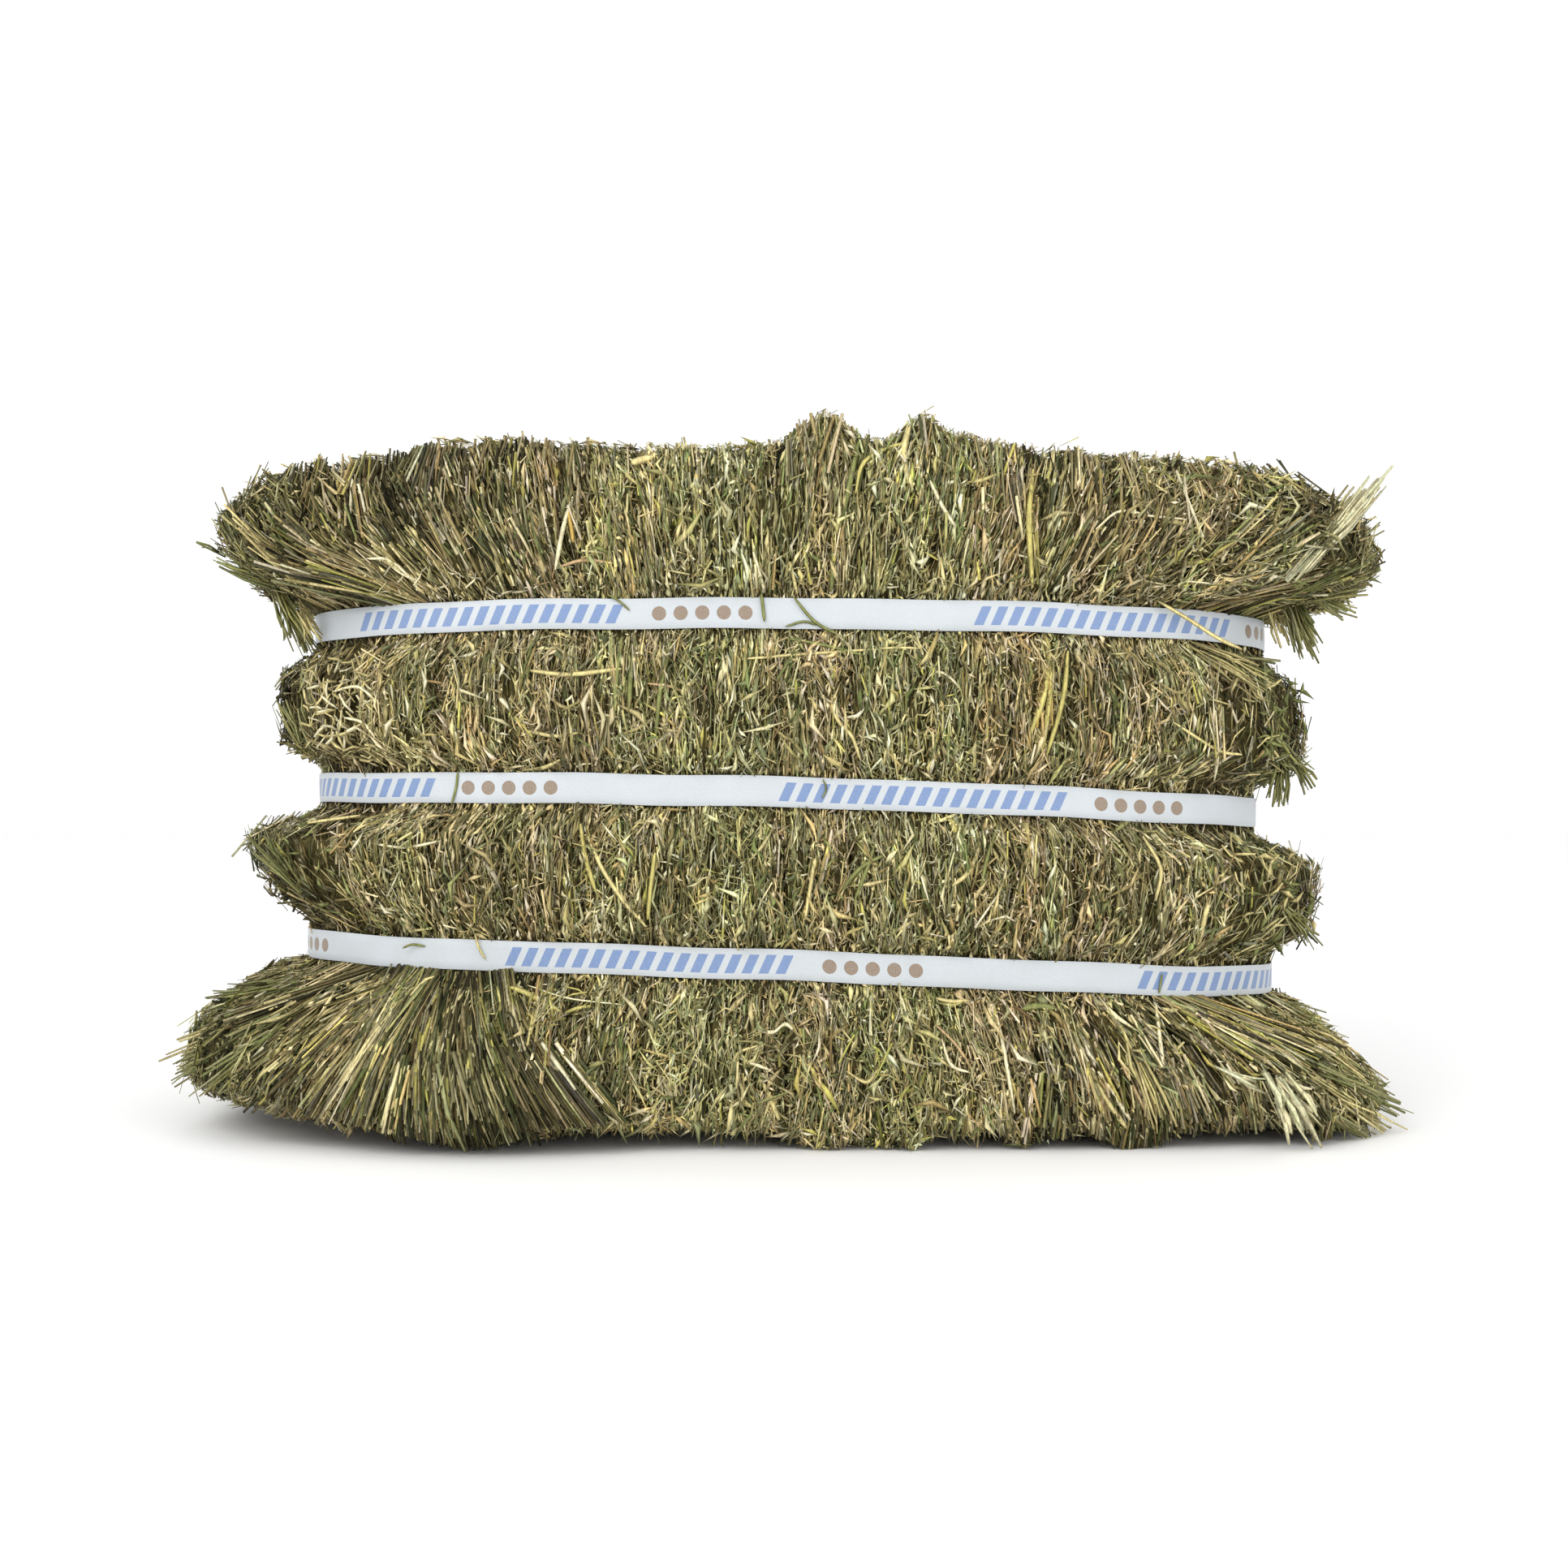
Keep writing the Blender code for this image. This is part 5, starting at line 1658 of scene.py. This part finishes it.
# %% The strip carried round the bale
# Height from the strap's middle and distance from the hay, in metres, once round the strip
STRIP_PROFILE = np.array([
    (-0.0095, 0.00020), (-0.0093, 0.0), (0.0, 0.0), (0.0093, 0.0), (0.0095, 0.00020),
    (0.0095, 0.00060), (0.0092, 0.0008), (0.0046, 0.00088), (0.0, 0.0009), (-0.0046, 0.00088),
    (-0.0092, 0.0008), (-0.0095, 0.00060),
])
WELD_LENGTH = 0.045
STRIP_SWAY = 0.00025
MAP_STRIPS = 16


def strip_points(name):
    """Each profile point carried along the outline: out along its normal, up by its width.

    The strip sways up and down and tilts by sums of sines, and is twice as thick at the weld.
    """
    loop, at, length = LOOPS[name]
    tangent = np.roll(loop, -1, axis=0) - np.roll(loop, 1, axis=0)
    normal = unit(np.stack((tangent[:, 1], -tangent[:, 0]), axis=1))
    phase = 3.0 * STRAPS[name][0]
    turns = 2.0 * math.pi * at / length
    sway = STRIP_SWAY * (np.sin(11.0 * turns + phase) + np.sin(17.0 * turns + 2.0 * phase))
    weld = np.clip(1.5 - np.abs(at - 0.5 * length) / (0.5 * WELD_LENGTH) * 1.5, 0.0, 1.0)
    lift = STRAP_THICKNESS * np.clip(weld * 6.0, 0.0, 1.0)
    off = STRIP_PROFILE[:, 1][None, :] * (1.0 + (lift / STRAP_THICKNESS)[:, None])
    tilt = STRIP_PROFILE[:, 0] / (0.5 * STRAP_WIDTH)
    ripple = STRIP_SWAY * np.sin(29.0 * turns + phase)[:, None] * tilt[None, :]
    off = off + ripple
    x = loop[:, 0][:, None] + normal[:, 0][:, None] * off
    y = loop[:, 1][:, None] + normal[:, 1][:, None] * off
    z = strap_height(name, loop[:, 0])[:, None] + sway[:, None] + STRIP_PROFILE[:, 0][None, :]
    return np.stack((x, y, z), axis=-1), at, length


def build_strap(name, finish):
    """The strip as a closed ring of quads, with the metre map and the baking map."""
    points, at, length = strip_points(name)
    around, sides = points.shape[:2]
    i = np.arange(around)[:, None]
    j = np.arange(sides)[None, :]
    nxt, side = (i + 1) % around, (j + 1) % sides
    quads = np.stack((i * sides + j, i * sides + side, nxt * sides + side, nxt * sides + j), axis=-1)
    quads = quads.reshape(-1, 4)
    mesh = bpy.data.meshes.new(name)
    mesh.from_pydata(points.reshape(-1, 3).tolist(), [], quads.tolist())
    spacing = length / around
    run = (at[:, None] + 0.5 * length) % length * np.ones((1, sides))
    height = STRIP_PROFILE[:, 0][None, :] * np.ones((around, 1))
    height_next = np.roll(height, -1, axis=1)
    metres = np.stack((
        np.stack((run, height), -1),
        np.stack((run, height_next), -1),
        np.stack((run + spacing, height_next), -1),
        np.stack((run + spacing, height), -1),
    ), axis=2)
    layer = mesh.uv_layers.new(name="metres")
    layer.data.foreach_set("uv", metres.astype(np.float32).ravel())
    per_strip = around // MAP_STRIPS
    strip = (np.arange(around) // per_strip)[:, None] * np.ones((1, sides))
    inside = ((np.arange(around) % per_strip) / per_strip)[:, None] * np.ones((1, sides))
    # Where the profile's edges lie in one strip of the baking map; the outer face gets the most room
    edge = np.array([0.02, 0.04, 0.09, 0.14, 0.16, 0.19, 0.22, 0.39, 0.56, 0.73, 0.90, 0.93, 0.96])
    low, high = edge[:-1][None, :], edge[1:][None, :]
    ones = np.ones((around, 1))
    step = 1.0 / per_strip
    bake = np.stack((
        np.stack((inside, (strip + low * ones) / MAP_STRIPS), -1),
        np.stack((inside, (strip + high * ones) / MAP_STRIPS), -1),
        np.stack((inside + step, (strip + high * ones) / MAP_STRIPS), -1),
        np.stack((inside + step, (strip + low * ones) / MAP_STRIPS), -1),
    ), axis=2)
    layer = mesh.uv_layers.new(name="OFBake")
    layer.data.foreach_set("uv", bake.astype(np.float32).ravel())
    mesh.materials.append(finish)
    mesh.shade_smooth()
    mesh.set_sharp_from_angle(angle=math.radians(40.0))
    piece = bpy.data.objects.new(f"{name}_band", mesh)
    bpy.context.scene.collection.objects.link(piece)
    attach(piece, "root")
    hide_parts(name)
    print(piece.name, "quads", len(quads))
    return piece


# %% The printed and embossed plastic
STRAP_WHITE = linear("#c3c9ce")
DUST = linear("#aeafa6")
INK_BLUE = linear("#5277b0")
INK_BROWN = linear("#7c5c30")
PRINT_PERIOD = 0.395
BLUE_RUN = (0.010, 0.1885)
BROWN_RUN = (0.202, 0.2685)
BAR_PITCH = 0.0105
BAR_SHARE = 0.58
BAR_SLANT = 0.45
DOT_PITCH = 0.0133
DOT_RADIUS = 0.0044
PRINT_HALF_HEIGHT = 0.0058
EMBOSS_PITCH = 0.0013
EMBOSS_DEPTH = 0.0002


def pattern_steps(offset):
    """The pattern as small sums: a name, a kind of sum, and its values, which may be earlier names.

    COMPARE gives one where its first value is no further from the second than the third, and WRAP
    starts again at zero after its second value.
    """
    blue_middle, blue_half = 0.5 * sum(BLUE_RUN), 0.5 * (BLUE_RUN[1] - BLUE_RUN[0])
    brown_middle, brown_half = 0.5 * sum(BROWN_RUN), 0.5 * (BROWN_RUN[1] - BROWN_RUN[0])
    return (
        ("moved", "ADD", "run", offset),
        ("inside", "WRAP", "moved", PRINT_PERIOD, 0.0),
        ("leaning", "MULTIPLY_ADD", "height", -BAR_SLANT, "inside"),
        ("from_start", "SUBTRACT", "leaning", BLUE_RUN[0]),
        ("in_bar", "WRAP", "from_start", BAR_PITCH, 0.0),
        ("bar", "LESS_THAN", "in_bar", BAR_SHARE * BAR_PITCH),
        ("tall", "COMPARE", "height", 0.0, PRINT_HALF_HEIGHT),
        ("tall_bar", "MULTIPLY", "bar", "tall"),
        ("in_blue", "COMPARE", "leaning", blue_middle, blue_half),
        ("blue", "MULTIPLY", "tall_bar", "in_blue"),
        ("from_dots", "SUBTRACT", "inside", BROWN_RUN[0]),
        ("in_cell", "WRAP", "from_dots", DOT_PITCH, 0.0),
        ("across", "SUBTRACT", "in_cell", 0.5 * DOT_PITCH),
        ("height_squared", "MULTIPLY", "height", "height"),
        ("squares", "MULTIPLY_ADD", "across", "across", "height_squared"),
        ("dot", "LESS_THAN", "squares", DOT_RADIUS**2),
        ("in_brown", "COMPARE", "inside", brown_middle, brown_half),
        ("brown", "MULTIPLY", "dot", "in_brown"),
        ("slanted", "ADD", "run", "height"),
        ("in_rib", "WRAP", "slanted", EMBOSS_PITCH, 0.0),
        ("centred", "MULTIPLY_ADD", "in_rib", 2.0 / EMBOSS_PITCH, -1.0),
        ("ribs", "ABSOLUTE", "centred"),
        ("crest", "MULTIPLY_ADD", "ribs", 0.35, 0.62),
        ("wear", "MULTIPLY_ADD", "worn", 0.5, 0.72),
        ("cover", "MULTIPLY", "crest", "wear"),
        ("blue_cover", "MULTIPLY", "blue", "cover"),
        ("brown_cover", "MULTIPLY", "brown", "cover"),
        ("dust_cover", "MULTIPLY_ADD", "dust", 0.35, -0.10),
    )


def strap_material(name, offset):
    """White drawn polypropylene with slanted blue bars and brown dots, embossed every 1.3 mm."""
    material = bpy.data.materials.new(f"embossed_polypropylene_{name}")
    material.use_nodes = True
    tree = material.node_tree
    shader = tree.nodes["Principled BSDF"]
    strip = add_node(tree, "ShaderNodeUVMap", {"uv_map": "metres"}, {}).outputs["UV"]
    split = add_node(tree, "ShaderNodeSeparateXYZ", {}, {"Vector": strip})
    made = {"run": split.outputs["X"], "height": split.outputs["Y"]}
    for label, scale, detail in (("worn", 900.0, 2.0), ("dust", 45.0, 4.0)):
        values = {"Vector": strip, "Scale": scale, "Detail": detail}
        made[label] = add_node(tree, "ShaderNodeTexNoise", {}, values).outputs["Fac"]
    for label, operation, *values in pattern_steps(offset):
        inputs = {slot: made.get(value, value) for slot, value in enumerate(values)}
        made[label] = add_node(tree, "ShaderNodeMath", {"operation": operation}, inputs).outputs[0]

    # Dust lies on the plastic and the inks on both; a mix node's colours are its inputs 6 and 7
    colour = (*STRAP_WHITE, 1.0)
    for label, over in (("dust_cover", DUST), ("blue_cover", INK_BLUE), ("brown_cover", INK_BROWN)):
        inputs = {0: made[label], 6: colour, 7: (*over, 1.0)}
        colour = add_node(tree, "ShaderNodeMix", {"data_type": "RGBA"}, inputs).outputs[2]
    relief = {"Height": made["ribs"], "Strength": 0.5, "Distance": EMBOSS_DEPTH}
    bump = add_node(tree, "ShaderNodeBump", {}, relief)
    tree.links.new(colour, shader.inputs["Base Color"])
    tree.links.new(bump.outputs["Normal"], shader.inputs["Normal"])
    shader.inputs["Roughness"].default_value = 0.38
    shader.inputs["IOR"].default_value = 1.49
    return material


PRINT_OFFSETS = {"strap_bottom": 0.111, "strap_middle": 0.3505, "strap_top": 0.225}
straps = [build_strap(name, strap_material(name, PRINT_OFFSETS[name])) for name in STRAPS]

# %% [markdown]
# ## Floor, light and camera
#
# A product picture on white: the floor and the air around are white, so light comes from all sides and
# only the gaps between stems go dark. A large soft light from the upper left models the bulges, and a
# weaker one from the right keeps the far side open. The camera looks straight ahead.

# %% The stage
FLOOR_HALF = 8.0


def build_floor():
    """A wide pale floor under the bale."""
    mesh = bpy.data.meshes.new("floor")
    half = FLOOR_HALF
    ring = [(-half, -half, 0.0), (half, -half, 0.0), (half, half, 0.0), (-half, half, 0.0)]
    mesh.from_pydata(ring, [], [(0, 1, 2, 3)])
    floor = bpy.data.objects.new("floor", mesh)
    bpy.context.scene.collection.objects.link(floor)
    material = bpy.data.materials.new("white_paper")
    material.use_nodes = True
    shader = material.node_tree.nodes["Principled BSDF"]
    shader.inputs["Base Color"].default_value = (0.95, 0.95, 0.95, 1.0)
    shader.inputs["Roughness"].default_value = 0.9
    mesh.materials.append(material)
    return floor


def add_light(name, place, target, size, power):
    """A square soft light that faces a point."""
    data = bpy.data.lights.new(name, "AREA")
    data.shape = "SQUARE"
    data.size = size
    data.energy = power
    light = bpy.data.objects.new(name, data)
    light.location = place
    light.rotation_euler = (Vector(target) - Vector(place)).to_track_quat("-Z", "Y").to_euler()
    bpy.context.scene.collection.objects.link(light)
    return light


build_floor()
world = bpy.data.worlds.new("white_studio")
world.use_nodes = True
world.node_tree.nodes["Background"].inputs["Color"].default_value = (1.0, 1.0, 1.0, 1.0)
world.node_tree.nodes["Background"].inputs["Strength"].default_value = 1.04
bpy.context.scene.world = world
add_light("key", (-1.1, -1.9, 1.7), (0.0, 0.0, 0.2), 1.4, 28.0)
add_light("fill", (1.4, -1.7, 0.9), (0.0, 0.0, 0.2), 1.4, 10.0)
bpy.context.scene.view_settings.view_transform = "Standard"

camera_data = bpy.data.cameras.new("camera")
camera_data.sensor_width = 36.0
camera_data.lens = camera_data.sensor_width * EYE_DISTANCE / (PICTURE * PIXEL)
camera_data.clip_start = 0.05
camera_data.clip_end = 50.0
camera = bpy.data.objects.new("camera", camera_data)
camera.location = EYE.tolist()
camera.rotation_euler = (math.radians(90.0), 0.0, 0.0)
bpy.context.scene.collection.objects.link(camera)
bpy.context.scene.camera = camera
print("lens", round(camera_data.lens, 1), "mm")
